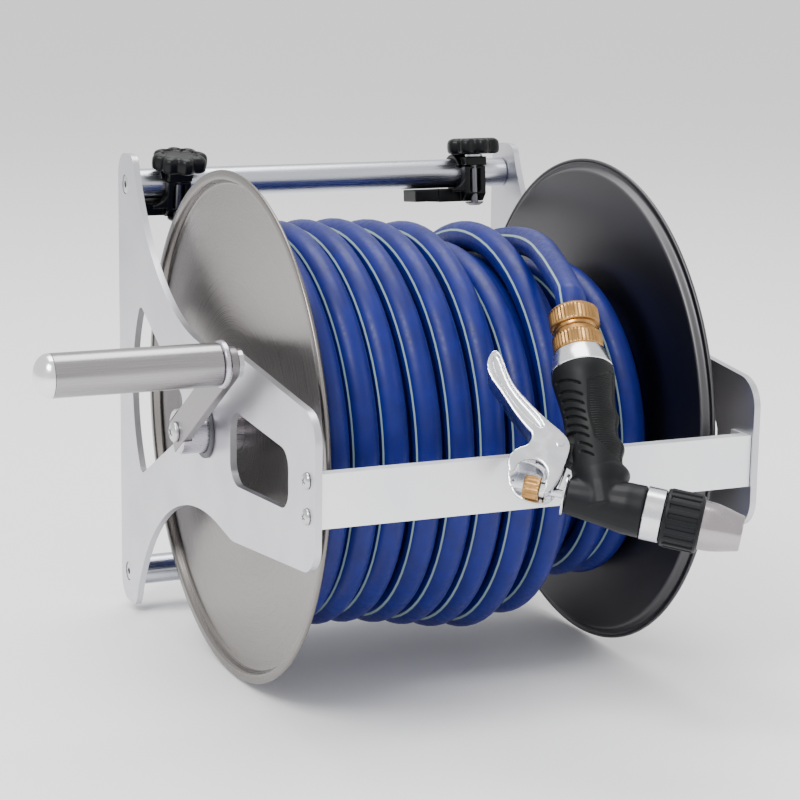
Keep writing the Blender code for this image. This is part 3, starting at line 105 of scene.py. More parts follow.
class Brush(Enum):
    """The direction of a metal's brushing, as the pattern's scale along X, Y and Z; the round one has none."""

    ALONG_X = (18.0, 2600.0, 2600.0)
    ALONG_Z = (2600.0, 2600.0, 18.0)
    ROUND_DRUM = (0.0, 0.0, 0.0)


def linear(code: str) -> tuple[float, float, float, float]:
    """Turn an sRGB hex code into a linear colour.

    Args:
        code: Six hex digits after a hash sign.

    Returns:
        Red, green, blue and alpha.
    """
    values = [int(code[i:i + 2], 16) / 255 for i in (1, 3, 5)]
    parts = [v / 12.92 if v <= 0.04045 else ((v + 0.055) / 1.055) ** 2.4 for v in values]
    return (parts[0], parts[1], parts[2], 1.0)


def add(tree: Tree, kind: str, links: dict | None = None, **settings: object) -> bpy.types.Node:
    """Add a node with its settings and links.

    Args:
        tree: The node tree.
        kind: The node's type.
        links: For each input, by name or number, a socket to link or a value.
        settings: The node's own properties.

    Returns:
        The new node.
    """
    made = tree.nodes.new(kind)
    for key, value in settings.items():
        setattr(made, key, value)
    for key, value in (links or {}).items():
        if isinstance(value, Socket):
            tree.links.new(value, made.inputs[key])
        else:
            made.inputs[key].default_value = value
    return made


@dataclass(frozen=True)
class Coat:
    """A material in the making: its tree, its shader and the coordinates that its patterns follow."""

    tree: Tree
    shader: bpy.types.Node
    place: Socket

    def noise(self, size_mm: float, detail: float = 3.0) -> Socket:
        """Draw clouds of a real size.

        Args:
            size_mm: The clouds' size in millimetres.
            detail: How many finer layers they have.

        Returns:
            The socket with the value.
        """
        made = add(self.tree, "ShaderNodeTexNoise",
                   {"Vector": self.place, "Scale": 1000.0 / size_mm, "Detail": detail})
        return made.outputs["Fac"]

    def spread(self, value: Socket, low: float, high: float, start: float = 0.3, end: float = 0.7) -> Socket:
        """Stretch part of a value's range to another range.

        Args:
            value: The socket that gives the value.
            low: The result at start.
            high: The result at end.
            start: Where the part of the range starts.
            end: Where it ends.

        Returns:
            The socket with the result.
        """
        made = add(self.tree, "ShaderNodeMapRange", {"Value": value, "From Min": start, "From Max": end,
                                                     "To Min": low, "To Max": high})
        return made.outputs["Result"]

    def mixed(self, share: Socket, first: str | Socket, second: str) -> Socket:
        """Mix two colours by a share.

        Args:
            share: The socket with the second colour's share.
            first: The first colour, as a hex code or a socket.
            second: Hex code of the second colour.

        Returns:
            The socket with the mixed colour.
        """
        base = linear(first) if isinstance(first, str) else first
        mix = add(self.tree, "ShaderNodeMix", {0: share, 6: base, 7: linear(second)}, data_type="RGBA")
        return mix.outputs[2]

    def tint(self, colour: Socket) -> None:
        """Give the surface its colour."""
        self.tree.links.new(colour, self.shader.inputs["Base Color"])

    def polish(self, value: Socket, low: float, high: float) -> None:
        """Let the roughness follow a value between low and high."""
        self.tree.links.new(self.spread(value, low, high), self.shader.inputs["Roughness"])

    def bump(self, height: Socket, depth_mm: float, strength: float) -> None:
        """Raise the surface by a pattern.

        Args:
            height: The pattern.
            depth_mm: How high it stands in millimetres.
            strength: How much of it shows.
        """
        made = add(self.tree, "ShaderNodeBump",
                   {"Height": height, "Distance": depth_mm / 1000, "Strength": strength})
        self.tree.links.new(made.outputs["Normal"], self.shader.inputs["Normal"])


@dataclass(frozen=True)
class Finish:
    """A surface with one colour, one roughness and the pattern that a kind of finish adds."""

    name: str
    slot: str
    colour: str
    roughness: float
    metallic: float = 0.0

    def material(self) -> bpy.types.Material:
        """Make the finish's material, once.

        Returns:
            The material.
        """
        known = bpy.data.materials.get(self.name)
        if known is not None:
            return known
        mat = bpy.data.materials.new(self.name)
        mat.use_nodes = True
        tree = mat.node_tree
        tree.nodes.clear()
        shader = add(tree, "ShaderNodeBsdfPrincipled", {"Base Color": linear(self.colour),
                                                        "Roughness": self.roughness, "Metallic": self.metallic})
        add(tree, "ShaderNodeOutputMaterial", {"Surface": shader.outputs["BSDF"]})
        self.dress(Coat(tree, shader, add(tree, "ShaderNodeTexCoord").outputs["Object"]))
        mat.diffuse_color = linear(self.colour)
        return mat

    def dress(self, coat: Coat) -> None:
        """Add the finish's own pattern; the plain one has none."""


@dataclass(frozen=True)
class BlastedAluminium(Finish):
    """Aluminium sheet, blasted and anodised: an even silvery sheen with a fine grain and soft clouds."""

    grain_mm: float = 0.5
    shade: str = "#C9CACE"
    cloud_mm: float = 70.0
    smear_mm: float = 22.0
    depth_mm: float = 0.012
    unevenness: float = 0.05

    def dress(self, coat: Coat) -> None:
        """Add clouds, and a grain that is drawn coarser than in life so that it shows.

        Args:
            coat: The material in the making.
        """
        clouds = coat.noise(self.cloud_mm, 2.0)
        coat.tint(coat.mixed(coat.spread(clouds, 0.0, 1.0), self.shade, self.colour))
        coat.polish(coat.noise(self.smear_mm), self.roughness - self.unevenness, self.roughness + self.unevenness)
        coat.bump(coat.noise(self.grain_mm, 2.0), self.depth_mm, 0.35)


@dataclass(frozen=True)
class BrushedMetal(Finish):
    """Metal that was brushed or turned: fine streaks that stretch the reflections across them.

    On a turned face the streaks are rings, and change_round is how much they change on the way round.
    """

    brush: Brush = Brush.ALONG_X
    shade: str = "#8F8F92"
    depth_mm: float = 0.01
    stretch: float = 0.0
    rings_per_metre: float = 2400.0
    change_round: float = 0.02

    def lay(self, coat: Coat) -> Socket:
        """Find the coordinates that the streaks follow.

        Args:
            coat: The material in the making.

        Returns:
            The socket with the coordinates.
        """
        tree = coat.tree
        if self.brush is not Brush.ROUND_DRUM:
            return add(tree, "ShaderNodeMapping", {"Vector": coat.place, "Scale": self.brush.value}).outputs[0]
        shift = add(tree, "ShaderNodeMapping", {"Vector": coat.place, "Location": tuple(-AXIS)})
        parts = add(tree, "ShaderNodeSeparateXYZ", {"Vector": shift.outputs[0]})
        flat = add(tree, "ShaderNodeCombineXYZ", {"Y": parts.outputs["Y"], "Z": parts.outputs["Z"]})
        radius = add(tree, "ShaderNodeVectorMath", {0: flat.outputs[0]}, operation="LENGTH")
        unit = add(tree, "ShaderNodeVectorMath", {0: flat.outputs[0]}, operation="NORMALIZE")
        wide = add(tree, "ShaderNodeVectorMath", {0: unit.outputs[0], "Scale": self.change_round},
                   operation="SCALE")
        rings = add(tree, "ShaderNodeMath", {0: radius.outputs["Value"], 1: self.rings_per_metre},
                    operation="MULTIPLY")
        across = add(tree, "ShaderNodeCombineXYZ", {"X": rings.outputs[0]})
        return add(tree, "ShaderNodeVectorMath", {0: wide.outputs[0], 1: across.outputs[0]},
                   operation="ADD").outputs[0]

    def dress(self, coat: Coat) -> None:
        """Add streaks 0.4 mm apart, coarser than in life so that they show.

        Args:
            coat: The material in the making.
        """
        streak = add(coat.tree, "ShaderNodeTexNoise",
                     {"Vector": self.lay(coat), "Scale": 1.0, "Detail": 2.0}).outputs["Fac"]
        coat.tint(coat.mixed(coat.spread(streak, 0.0, 1.0, 0.35, 0.65), self.shade, self.colour))
        coat.polish(streak, self.roughness - 0.04, self.roughness + 0.06)
        coat.bump(streak, self.depth_mm, 0.3)
        if self.stretch:
            coat.shader.inputs["Anisotropic"].default_value = self.stretch
            tangent = add(coat.tree, "ShaderNodeTangent", direction_type="UV_MAP", uv_map="UVMap")
            coat.tree.links.new(tangent.outputs[0], coat.shader.inputs["Tangent"])


@dataclass(frozen=True)
class HoseRubber(Finish):
    """Extruded blue hose: a smooth waxy skin with thin pale stripes moulded into it along its length.

    Each stripe is its place as a share of a turn round the hose, its width in millimetres and its colour.
    """

    shade: str = "#04115C"
    stripes: tuple[tuple[float, float, str], ...] = ((0.5, 1.3, "#8FA6A4"), (0.70, 0.8, "#4A5A50"),
                                                     (0.02, 1.3, "#8FA6A4"))
    cloud_mm: float = 14.0
    smear_mm: float = 3.0
    grain_mm: float = 1.2
    depth_mm: float = 0.015
    gloss: float = 0.30

    def dress(self, coat: Coat) -> None:
        """Add the stripes by the hose's own map: metres along it, and the share of a turn round it.

        Args:
            coat: The material in the making.
        """
        tree = coat.tree
        chart = add(tree, "ShaderNodeUVMap", uv_map="UVMap").outputs[0]
        parts = add(tree, "ShaderNodeSeparateXYZ", {"Vector": chart})
        skin = coat.mixed(coat.spread(coat.noise(self.cloud_mm), 0.0, 1.0), self.colour, self.shade)
        for middle, width, colour in self.stripes:
            off = add(tree, "ShaderNodeMath", {0: parts.outputs["Y"], 1: middle}, operation="SUBTRACT")
            away = add(tree, "ShaderNodeMath", {0: off.outputs[0]}, operation="ABSOLUTE")
            half = width / (2 * math.tau * HOSE_RADIUS * 1000)
            edge = coat.spread(away.outputs[0], 1.0, 0.0, half * 0.7, half * 1.3)
            skin = coat.mixed(edge, skin, colour)
        coat.tint(skin)
        coat.polish(coat.noise(self.smear_mm), self.roughness - 0.06, self.roughness + 0.08)
        coat.bump(coat.noise(self.grain_mm, 2.0), self.depth_mm, 0.2)
        coat.shader.inputs["Specular IOR Level"].default_value = self.gloss


@dataclass(frozen=True)
class MouldedPlastic(Finish):
    """Plastic, rubber or powder coat: one dull colour with a fine grain and rubbed, slightly greyer clouds."""

    grain_mm: float = 0.6
    depth_mm: float = 0.03
    worn: str = "#33363A"
    cloud_mm: float = 12.0
    unevenness: float = 0.06
    gloss: float = 0.22

    def dress(self, coat: Coat) -> None:
        """Add worn clouds, and a grain about as coarse as the real one.

        Args:
            coat: The material in the making.
        """
        clouds = coat.noise(self.cloud_mm)
        coat.tint(coat.mixed(coat.spread(clouds, 0.0, 0.6), self.colour, self.worn))
        coat.polish(clouds, self.roughness - self.unevenness, self.roughness + self.unevenness)
        coat.bump(coat.noise(self.grain_mm, 2.0), self.depth_mm, 0.4)
        coat.shader.inputs["Specular IOR Level"].default_value = self.gloss


@dataclass(frozen=True)
class TurnedBrass(Finish):
    """Turned brass, uncoated: warm and a little tarnished in clouds, darker in its grooves."""

    tarnish: str = "#7B5A33"
    cloud_mm: float = 5.0
    mark_mm: float = 0.7
    depth_mm: float = 0.02

    def dress(self, coat: Coat) -> None:
        """Add tarnish in clouds and the tool's fine marks.

        Args:
            coat: The material in the making.
        """
        clouds = coat.noise(self.cloud_mm, 4.0)
        coat.tint(coat.mixed(coat.spread(clouds, 0.0, 0.6, 0.4, 0.7), self.colour, self.tarnish))
        coat.polish(clouds, self.roughness - 0.06, self.roughness + 0.12)
        coat.bump(coat.noise(self.mark_mm, 2.0), self.depth_mm, 0.3)


@dataclass(frozen=True)
class PlatedMetal(Finish):
    """Bright plating on a casting: mirror-like, with the casting's long soft waves under it."""

    wave_mm: float = 6.0
    smear_mm: float = 8.0
    depth_mm: float = 0.05

    def dress(self, coat: Coat) -> None:
        """Add waves a few hundredths of a millimetre high, and faint smears of handling.

        Args:
            coat: The material in the making.
        """
        coat.polish(coat.noise(self.smear_mm), self.roughness * 0.7, self.roughness * 1.6)
        coat.bump(coat.noise(self.wave_mm, 1.0), self.depth_mm, 0.5)


# Blasted aluminium sheet, so its broad face is an even pale silver without a sharp reflection.
PLATE = BlastedAluminium("blasted_aluminium_plate", "satin_aluminium", "#CFCFD4", 0.38, 1.0, 0.5, "#C4C4CA")
# Spun stainless steel: its turning marks run round the axle and fan the highlight out from it.
DISC = BrushedMetal("spun_stainless_disc", "brushed_stainless", "#827E7B", 0.26, 1.0, Brush.ROUND_DRUM,
                    "#7C7875", 0.0006, 0.7)
# The right disc, whose inner face shows: the same spun steel, its colour darkened as painted shade, with a duller
# sweep of light.
SHADED_DISC = BrushedMetal("spun_stainless_disc_oiled", "brushed_stainless", "#5A595B", 0.40, 1.0,
                           Brush.ROUND_DRUM, "#545355", 0.0006, 0.7)
# Anodised aluminium tube, drawn lengthwise: one soft bright line along it.
TUBE = BrushedMetal("anodised_aluminium_tube", "anodised_tube", "#C6C9D0", 0.27, 1.0, Brush.ALONG_X,
                    "#BFC2CA", 0.002)
# Folded aluminium, blasted whiter than the plates: the lightest and most even band of the reel.
BAR = BlastedAluminium("folded_aluminium_bar", "bar_sheet", "#FFFFFF", 0.50, 1.0, 0.6, "#F2F5F8")
# Bright zinc plate: small heads that glint.
SCREW = PlatedMetal("zinc_plated_screw", "zinc_screw", "#C6C7CA", 0.22, 1.0, 3.0)
# Brushed stainless tube: dark and bright lines along the grip.
GRIP_STEEL = BrushedMetal("brushed_stainless_grip", "polished_steel", "#A09D9E", 0.24, 1.0, Brush.ALONG_X,
                          "#989596", 0.003)
# Turned steel: the crank's brightest piece, a little violet from what it mirrors.
HUB_STEEL = BrushedMetal("turned_steel_hub", "polished_steel", "#C4C0C8", 0.26, 1.0, Brush.ALONG_X,
                         "#B8B4BD", 0.003)
# Rolled flat steel: a duller and darker grey than the hub that holds it.
ARM_STEEL = BrushedMetal("rolled_steel_arm", "polished_steel", "#8C888A", 0.32, 1.0, Brush.ALONG_Z,
                         "#848083", 0.003)
# Grey acetal: a dull ring that hardly shows between the plate and the axle. The slot keeps the record's name.
ACETAL = MouldedPlastic("grey_acetal_bush", "black_nylon", "#55565A", 0.45, 0.0, 0.6, 0.02, "#606165")
# Blue rubber: a deep blue with a wide waxy highlight, and pale stripes that follow the turns.
HOSE = HoseRubber("blue_rubber_hose", "blue_hose", "#05166E", 0.42)
# Glass-filled nylon: nearly black, with a soft sheen where its lobes turn to the light.
CLAMP = MouldedPlastic("glass_filled_nylon_clamp", "clamp_plastic", "#08090B", 0.36, 0.0, 0.7, 0.02, "#0D0E11")
# Bare brass: warm, and brown in its grooves, the reel's one strong warm colour.
BRASS = TurnedBrass("turned_brass", "brass", "#B98E58", 0.30, 1.0)
# Chrome on a zinc casting: nearly a mirror, whose reflections bend over the casting's waves.
CHROME = PlatedMetal("chromed_zinc_casting", "chrome", "#E4E5E9", 0.14, 1.0, 9.0)
# Moulded rubber: the dullest black, in which grooves and ribs show only by their shading.
RUBBER = MouldedPlastic("moulded_rubber_grip", "grip_rubber", "#07090A", 0.50, 0.0, 0.5, 0.02, "#0C0E10")
# Black powder coat: a shade glossier than the rubber, with a faint orange-peel grain.
ENAMEL = MouldedPlastic("black_powder_coat", "gun_enamel", "#07080B", 0.44, 0.0, 0.8, 0.010, "#0E1016")
# Satin chrome: two pale rings that set off the gun's black.
RING = BrushedMetal("satin_chrome_ring", "satin_ring", "#E6E7EA", 0.20, 1.0, Brush.ALONG_Z, "#DCDDE1", 0.002)
# Polished metal, a little warm: the nozzle's smooth tip.
TIP = PlatedMetal("polished_nozzle_tip", "satin_ring", "#A8A1A4", 0.20, 1.0, 9.0)
# Dull steel, darkened further as painted shade: bolts and pins that sit in the clamps and stay in the background.
BOLT = BrushedMetal("dull_steel_bolt_painted_shade", "zinc_screw", "#77787C", 0.35, 1.0, Brush.ALONG_Z, "#6C6D71", 0.003)
# Polished aluminium: the grip's white domed end.
CAP = PlatedMetal("polished_aluminium_cap", "satin_ring", "#F1F1F3", 0.20, 1.0, 9.0)
# Matt white paint: shows only the reel's own soft shadow.
FLOOR = Finish("painted_studio_floor", "", "#FBFBFB", 0.9)


def on_axle(side: Side) -> Matrix:
    """The drum's axis, mirrored so that X points outward on a side."""
    return Matrix.Translation(AXIS) @ Matrix.Diagonal((side.value, 1, 1, 1))


def crosswise(place: Matrix) -> Matrix:
    """A place turned so that an extrusion's X runs across it, along its Y."""
    return place @ Matrix(((0, 1, 0, 0), (-1, 0, 0, 0), (0, 0, 1, 0), (0, 0, 0, 1)))


def linked(name: str, data: bpy.types.ID) -> Object:
    """Make an object and put it in the scene.

    Args:
        name: The object's name.
        data: Its mesh, camera or light.

    Returns:
        The object.
    """
    obj = bpy.data.objects.new(name, data)
    bpy.context.collection.objects.link(obj)
    return obj


def as_mesh(name: str, shape: Shape) -> bpy.types.Mesh:
    """Turn a bmesh into a mesh.

    Args:
        name: The mesh's name.
        shape: The bmesh, which is used up.

    Returns:
        The mesh.
    """
    mesh = bpy.data.meshes.new(name)
    shape.to_mesh(mesh)
    shape.free()
    return mesh


def as_bmesh(mesh: bpy.types.Mesh) -> Shape:
    """Turn a mesh into a bmesh.

    Args:
        mesh: The mesh, which is used up.

    Returns:
        The bmesh.
    """
    shape = bmesh.new()
    shape.from_mesh(mesh)
    bpy.data.meshes.remove(mesh)
    return shape


def piece(node: str, source: Shape, finish: Finish, body: Body, sharp: float = 32.0, name: str = "") -> Object:
    """Make a finished object that stands for a CAD node and rides on a body.

    Args:
        node: The CAD node.
        source: The object's shape, which is used up.
        finish: Its finish.
        body: The body that it moves with.
        sharp: The angle in degrees past which an edge is left sharp.
        name: Its name, where that isn't the node's name and "_dressed".

    Returns:
        The object, at the origin.
    """
    name = name or f"{node}_dressed"
    bmesh.ops.remove_doubles(source, verts=source.verts, dist=1e-7)
    bmesh.ops.recalc_face_normals(source, faces=source.faces)
    mesh = as_mesh(name, source)
    mesh.shade_smooth()
    mesh.set_sharp_from_angle(angle=math.radians(sharp))
    mesh.materials.clear()
    mesh.materials.append(finish.material())
    obj = linked(name, mesh)
    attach(obj, body.value)
    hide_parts(node)
    LOG.info("%s: %d faces on %s", name, len(mesh.polygons), body.value)
    return obj


def softened(obj: Object, width: float, segments: int = 2, least_angle: float = 38.0) -> None:
    """Break an object's sharp edges.

    Args:
        obj: The object.
        width: The bevel's width in metres.
        segments: Its steps.
        least_angle: The angle in degrees from which an edge counts as sharp.
    """
    step = obj.modifiers.new("broken_edges", "BEVEL")
    step.width = width
    step.segments = segments
    step.limit_method = "ANGLE"
    step.angle_limit = math.radians(least_angle)
    step.harden_normals = True


def lathe(profile: Profile, place: Matrix = Matrix(), steps: int = 96,
          wave: Callable[[float, float, float], float] | None = None) -> Shape:
    """A turned shape: (along, radius) points spun about X, with a map of turn and length.

    Args:
        profile: The points. A profile that ends on the axis gets a pole, any other is closed to a ring.
        place: Where the shape goes.
        steps: How many steps it is spun in.
        wave: Gives the radius at (along, radius, angle from Z towards Y), for a shape that isn't quite round.

    Returns:
        The bmesh.
    """
    bm = bmesh.new()
    chart = bm.loops.layers.uv.new("UVMap")
    points = list(profile)
    if points[0][1] > 0.0 and points[-1][1] > 0.0:
        points.append(points[0])
    travel = [0.0]
    for (a, r), (b, q) in zip(points, points[1:]):
        travel.append(travel[-1] + math.hypot(b - a, q - r))
    rows = []
    for index, (along, radius) in enumerate(points):
        if index == len(points) - 1 and points[0] == points[-1]:
            rows.append(rows[0])
        elif radius <= 0.0:
            rows.append([bm.verts.new((along, 0.0, 0.0))] * steps)
        else:
            turns = [math.tau * i / steps for i in range(steps)]
            sizes = [wave(along, radius, turn) if wave else radius for turn in turns]
            rows.append([bm.verts.new((along, size * math.sin(turn), size * math.cos(turn)))
                         for turn, size in zip(turns, sizes)])
    for j in range(len(rows) - 1):
        for i in range(steps):
            k = (i + 1) % steps
            corners = [(rows[j][i], i, j), (rows[j][k], i + 1, j), (rows[j + 1][k], i + 1, j + 1),
                       (rows[j + 1][i], i, j + 1)]
            seen = []
            for corner in corners:
                if all(corner[0] is not other[0] for other in seen):
                    seen.append(corner)
            if len(seen) < 3:
                continue
            face = bm.faces.new([corner[0] for corner in seen])
            for loop, corner in zip(face.loops, seen):
                loop[chart].uv = (corner[1] / steps, travel[corner[2]] * 10)
    bm.transform(place)
    return bm


def prism(outline: Profile, low: float, high: float, holes: Iterable[Profile] = (),
          place: Matrix = Matrix()) -> Shape:
    """A sheet or bar: a closed outline of (y, z) points with holes, extruded along X.

    Args:
        outline: The outline.
        low: Where it starts along X.
        high: Where it ends.
        holes: Closed outlines that are cut through it.
        place: Where the shape goes.

    Returns:
        The bmesh.
    """
    bm = bmesh.new()
    edges = []
    for loop in (outline, *holes):
        verts = [bm.verts.new((low, y, z)) for y, z in loop]
        edges += [bm.edges.new((verts[i - 1], verts[i])) for i in range(len(verts))]
    if holes:
        bmesh.ops.triangle_fill(bm, use_beauty=True, edges=edges)
    else:
        bm.faces.new([e.verts[1] for e in edges])
    pushed = bmesh.ops.extrude_face_region(bm, geom=list(bm.faces))["geom"]
    bmesh.ops.translate(bm, verts=[v for v in pushed if isinstance(v, bmesh.types.BMVert)], vec=(high - low, 0, 0))
    bm.transform(place)
    return bm


def joined(*parts: Shape) -> Shape:
    """Put several bmeshes into the first one.

    Args:
        parts: The bmeshes; all but the first are used up.

    Returns:
        The first bmesh.
    """
    first = parts[0]
    for part in parts[1:]:
        mesh = as_mesh("part", part)
        first.from_mesh(mesh)
        bpy.data.meshes.remove(mesh)
    return first


def holder(name: str, shape: Shape) -> Object:
    """Hold a shape in an object for modifiers, with its faces outward.

    Args:
        name: The object's name.
        shape: The shape, which is used up.

    Returns:
        The object.
    """
    shape.normal_update()  # A moved or extruded shape has stale normals, and these would be turned inward.
    bmesh.ops.recalc_face_normals(shape, faces=shape.faces)
    return linked(name, as_mesh(name, shape))


def settled(obj: Object, *others: Object) -> Shape:
    """Apply an object's modifiers and remove it.

    Args:
        obj: The object.
        others: Objects that its modifiers needed, removed too.

    Returns:
        The result.
    """
    shape = as_bmesh(bpy.data.meshes.new_from_object(obj.evaluated_get(bpy.context.evaluated_depsgraph_get())))
    for used in (obj, *others):
        bpy.data.objects.remove(used, do_unlink=True)
    return shape


def carved(target: Shape, *tools: Shape) -> Shape:
    """Cut shapes out of a shape.

    Args:
        target: The shape.
        tools: The shapes that are cut out of it.

    Returns:
        The result; the others are used up.
    """
    body = holder("target", target)
    others = [holder("tool", tool) for tool in tools]
    for other in others:
        step = body.modifiers.new("carve", "BOOLEAN")
        step.object = other
        step.operation = "DIFFERENCE"
        step.solver = "EXACT"
    return settled(body, *others)


def moulded(shape: Shape, voxel: float, rounds: int) -> Shape:
    """Melt overlapping shapes into one soft-edged moulding.

    Args:
        shape: The shapes, which are used up.
        voxel: The size of the grid that they are melted on.
        rounds: How many times the result is smoothed.

    Returns:
        The moulding.
    """
    body = holder("moulding", shape)
    melt = body.modifiers.new("melt", "REMESH")
    melt.mode = "VOXEL"
    melt.voxel_size = voxel
    smooth = body.modifiers.new("smooth", "SMOOTH")
    smooth.factor = 0.5
    smooth.iterations = rounds
    return settled(body)


def cad_copy(node: Object) -> Shape:
    """Copy a CAD node's mesh into the world, with its triangles merged to faces.

    Args:
        node: The CAD node.

    Returns:
        The copy.
    """
    bm = bmesh.new()
    bm.from_mesh(node.data)
    bm.transform(node.matrix_world)
    bmesh.ops.remove_doubles(bm, verts=bm.verts, dist=2e-6)
    bmesh.ops.dissolve_limit(bm, angle_limit=math.radians(0.5), verts=bm.verts, edges=bm.edges)
    return bm


def between(a: Vector, b: Vector, c: Vector, d: Vector, t: float) -> Vector:
    """The point at a share t of the way from b to c, on the smooth curve through four points."""
    return 0.5 * (2 * b + (c - a) * t + (2 * a - 5 * b + 4 * c - d) * t * t
                  + (3 * b - a - 3 * c + d) * t * t * t)


def curved(points: Sequence[Sequence[float]], count: int) -> list:
    """A smooth line through points.

    Args:
        points: The points.
        count: The steps between two of them.

    Returns:
        The line's points.
    """
    knots = [Vector(points[0]), *(Vector(p) for p in points), Vector(points[-1])]
    line = []
    for a, b, c, d in zip(knots, knots[1:], knots[2:], knots[3:]):
        line += [tuple(between(a, b, c, d, k / count)) for k in range(count)]
    return line + [tuple(points[-1])]


def fine(points: Sequence[Sequence[float]], step: float) -> list:
    """Split a line's pieces so that none is longer than a step.

    Args:
        points: The line.
        step: The longest piece.

    Returns:
        The line's points.
    """
    line = [tuple(points[0])]
    for a, b in zip(points, points[1:]):
        count = max(1, math.ceil((Vector(b) - Vector(a)).length / step))
        line += [tuple(Vector(a).lerp(Vector(b), k / count)) for k in range(1, count + 1)]
    return line


def softer(outline: Sequence[Sequence[float]], rounds: int = 3) -> list:
    """Cut a closed outline's corners until it is smooth.

    Args:
        outline: The outline.
        rounds: How many times all corners are cut.

    Returns:
        The outline's points.
    """
    points = [Vector(p) for p in outline]
    for _ in range(rounds):
        points = [q for a, b in zip(points, points[1:] + points[:1]) for q in (a.lerp(b, 0.25), a.lerp(b, 0.75))]
    return [tuple(p) for p in points]


def arc(centre: tuple[float, float], radius: float, start: float, end: float, count: int) -> list:
    """Points on an arc.

    Args:
        centre: The arc's centre.
        radius: Its radius.
        start: Its first angle in radians.
        end: Its last angle.
        count: Its steps.

    Returns:
        The points, both ends included.
    """
    return [(centre[0] + radius * math.cos(start + (end - start) * i / count),
             centre[1] + radius * math.sin(start + (end - start) * i / count)) for i in range(count + 1)]


def rounded(corners: Sequence[tuple[float, float, float]], segments: int = 10) -> list:
    """A closed outline whose corners are rounded.

    Args:
        corners: (y, z, radius) of each corner.
        segments: The steps of each rounding.

    Returns:
        The outline's points.
    """
    points = []
    for i, (y, z, radius) in enumerate(corners):
        here = Vector((y, z))
        if not radius:
            points.append((y, z))
            continue
        back = (Vector(corners[i - 1][:2]) - here).normalized()
        ahead = (Vector(corners[(i + 1) % len(corners)][:2]) - here).normalized()
        half = back.angle(ahead) / 2
        middle = here + (back + ahead).normalized() * radius / math.sin(half)
        first = here + back * radius / math.tan(half) - middle
        last = here + ahead * radius / math.tan(half) - middle
        sweep = first.angle_signed(last)
        for k in range(segments + 1):
            points.append(tuple(middle + Matrix.Rotation(-sweep * k / segments, 2) @ first))
    return points


def circle(y: float, z: float, radius: float, count: int = 32) -> list:
    """A closed round outline."""
    return arc((y, z), radius, 0.0, math.tau, count)[:-1]


def cross_recess(reach: float, half: float, corner: float, low: float, high: float, turn: float) -> list[Shape]:
    """Make the two bars that cut a screw's cross recess.

    Args:
        reach: Half a bar's length.
        half: Half its width.
        corner: The radius of its corners.
        low: Where it starts along X.
        high: Where it ends.
        turn: The first bar's angle in radians.

    Returns:
        The bars.
    """
    bar = rounded([(-reach, -half, corner), (reach, -half, corner), (reach, half, corner), (-reach, half, corner)], 3)
    return [prism(bar, low, high, (), Matrix.Rotation(angle, 4, "X")) for angle in (turn, turn + math.pi / 2)]


def ease(t: float) -> float:
    """A smooth step from 0 to 1."""
    t = min(max(t, 0.0), 1.0)
    return t * t * (3 - 2 * t)


def grown(name: str, source: bpy.types.Mesh, tree: Tree, inputs: dict[str, object]) -> bpy.types.Mesh:
    """Run a Geometry Nodes tree on a mesh and keep the result as a plain mesh.

    Args:
        name: The result's name.
        source: The mesh that the tree starts from.
        tree: The tree.
        inputs: Its named inputs.

    Returns:
        The plain mesh.
    """
    carrier = linked(name + "_carrier", source)
    step = carrier.modifiers.new("nodes", "NODES")
    step.node_group = tree
    for socket in tree.interface.items_tree:
        if socket.item_type == "SOCKET" and socket.in_out == "INPUT" and socket.name in inputs:
            step[socket.identifier] = inputs[socket.name]
    carrier.update_tag()
    graph = bpy.context.evaluated_depsgraph_get()
    mesh = bpy.data.meshes.new_from_object(carrier.evaluated_get(graph))
    mesh.name = name
    carrier.modifiers.remove(step)
    bpy.data.objects.remove(carrier, do_unlink=True)
    return mesh


def new_tree(name: str, inputs: Sequence[tuple[str, str]]) -> tuple[Tree, bpy.types.Node]:
    """Start a Geometry Nodes tree.

    Args:
        name: The tree's name.
        inputs: Name and socket type of each input after the geometry.

    Returns:
        The tree and its input node.
    """
    tree = bpy.data.node_groups.new(name, "GeometryNodeTree")
    tree.interface.new_socket(name="Geometry", in_out="INPUT", socket_type="NodeSocketGeometry")
    for label, kind in inputs:
        tree.interface.new_socket(name=label, in_out="INPUT", socket_type=kind)
    tree.interface.new_socket(name="Geometry", in_out="OUTPUT", socket_type="NodeSocketGeometry")
    return tree, add(tree, "NodeGroupInput")


def end_tree(tree: Tree, start: bpy.types.Node, geometry: Socket) -> None:
    """End a tree with its real geometry in the material of its Material input.

    Args:
        tree: The tree.
        start: Its input node.
        geometry: The geometry that it has made.
    """
    real = add(tree, "GeometryNodeRealizeInstances", {"Geometry": geometry})
    dressed = add(tree, "GeometryNodeSetMaterial", {"Geometry": real.outputs[0],
                                                    "Material": start.outputs["Material"]})
    add(tree, "NodeGroupOutput", {"Geometry": dressed.outputs[0]})


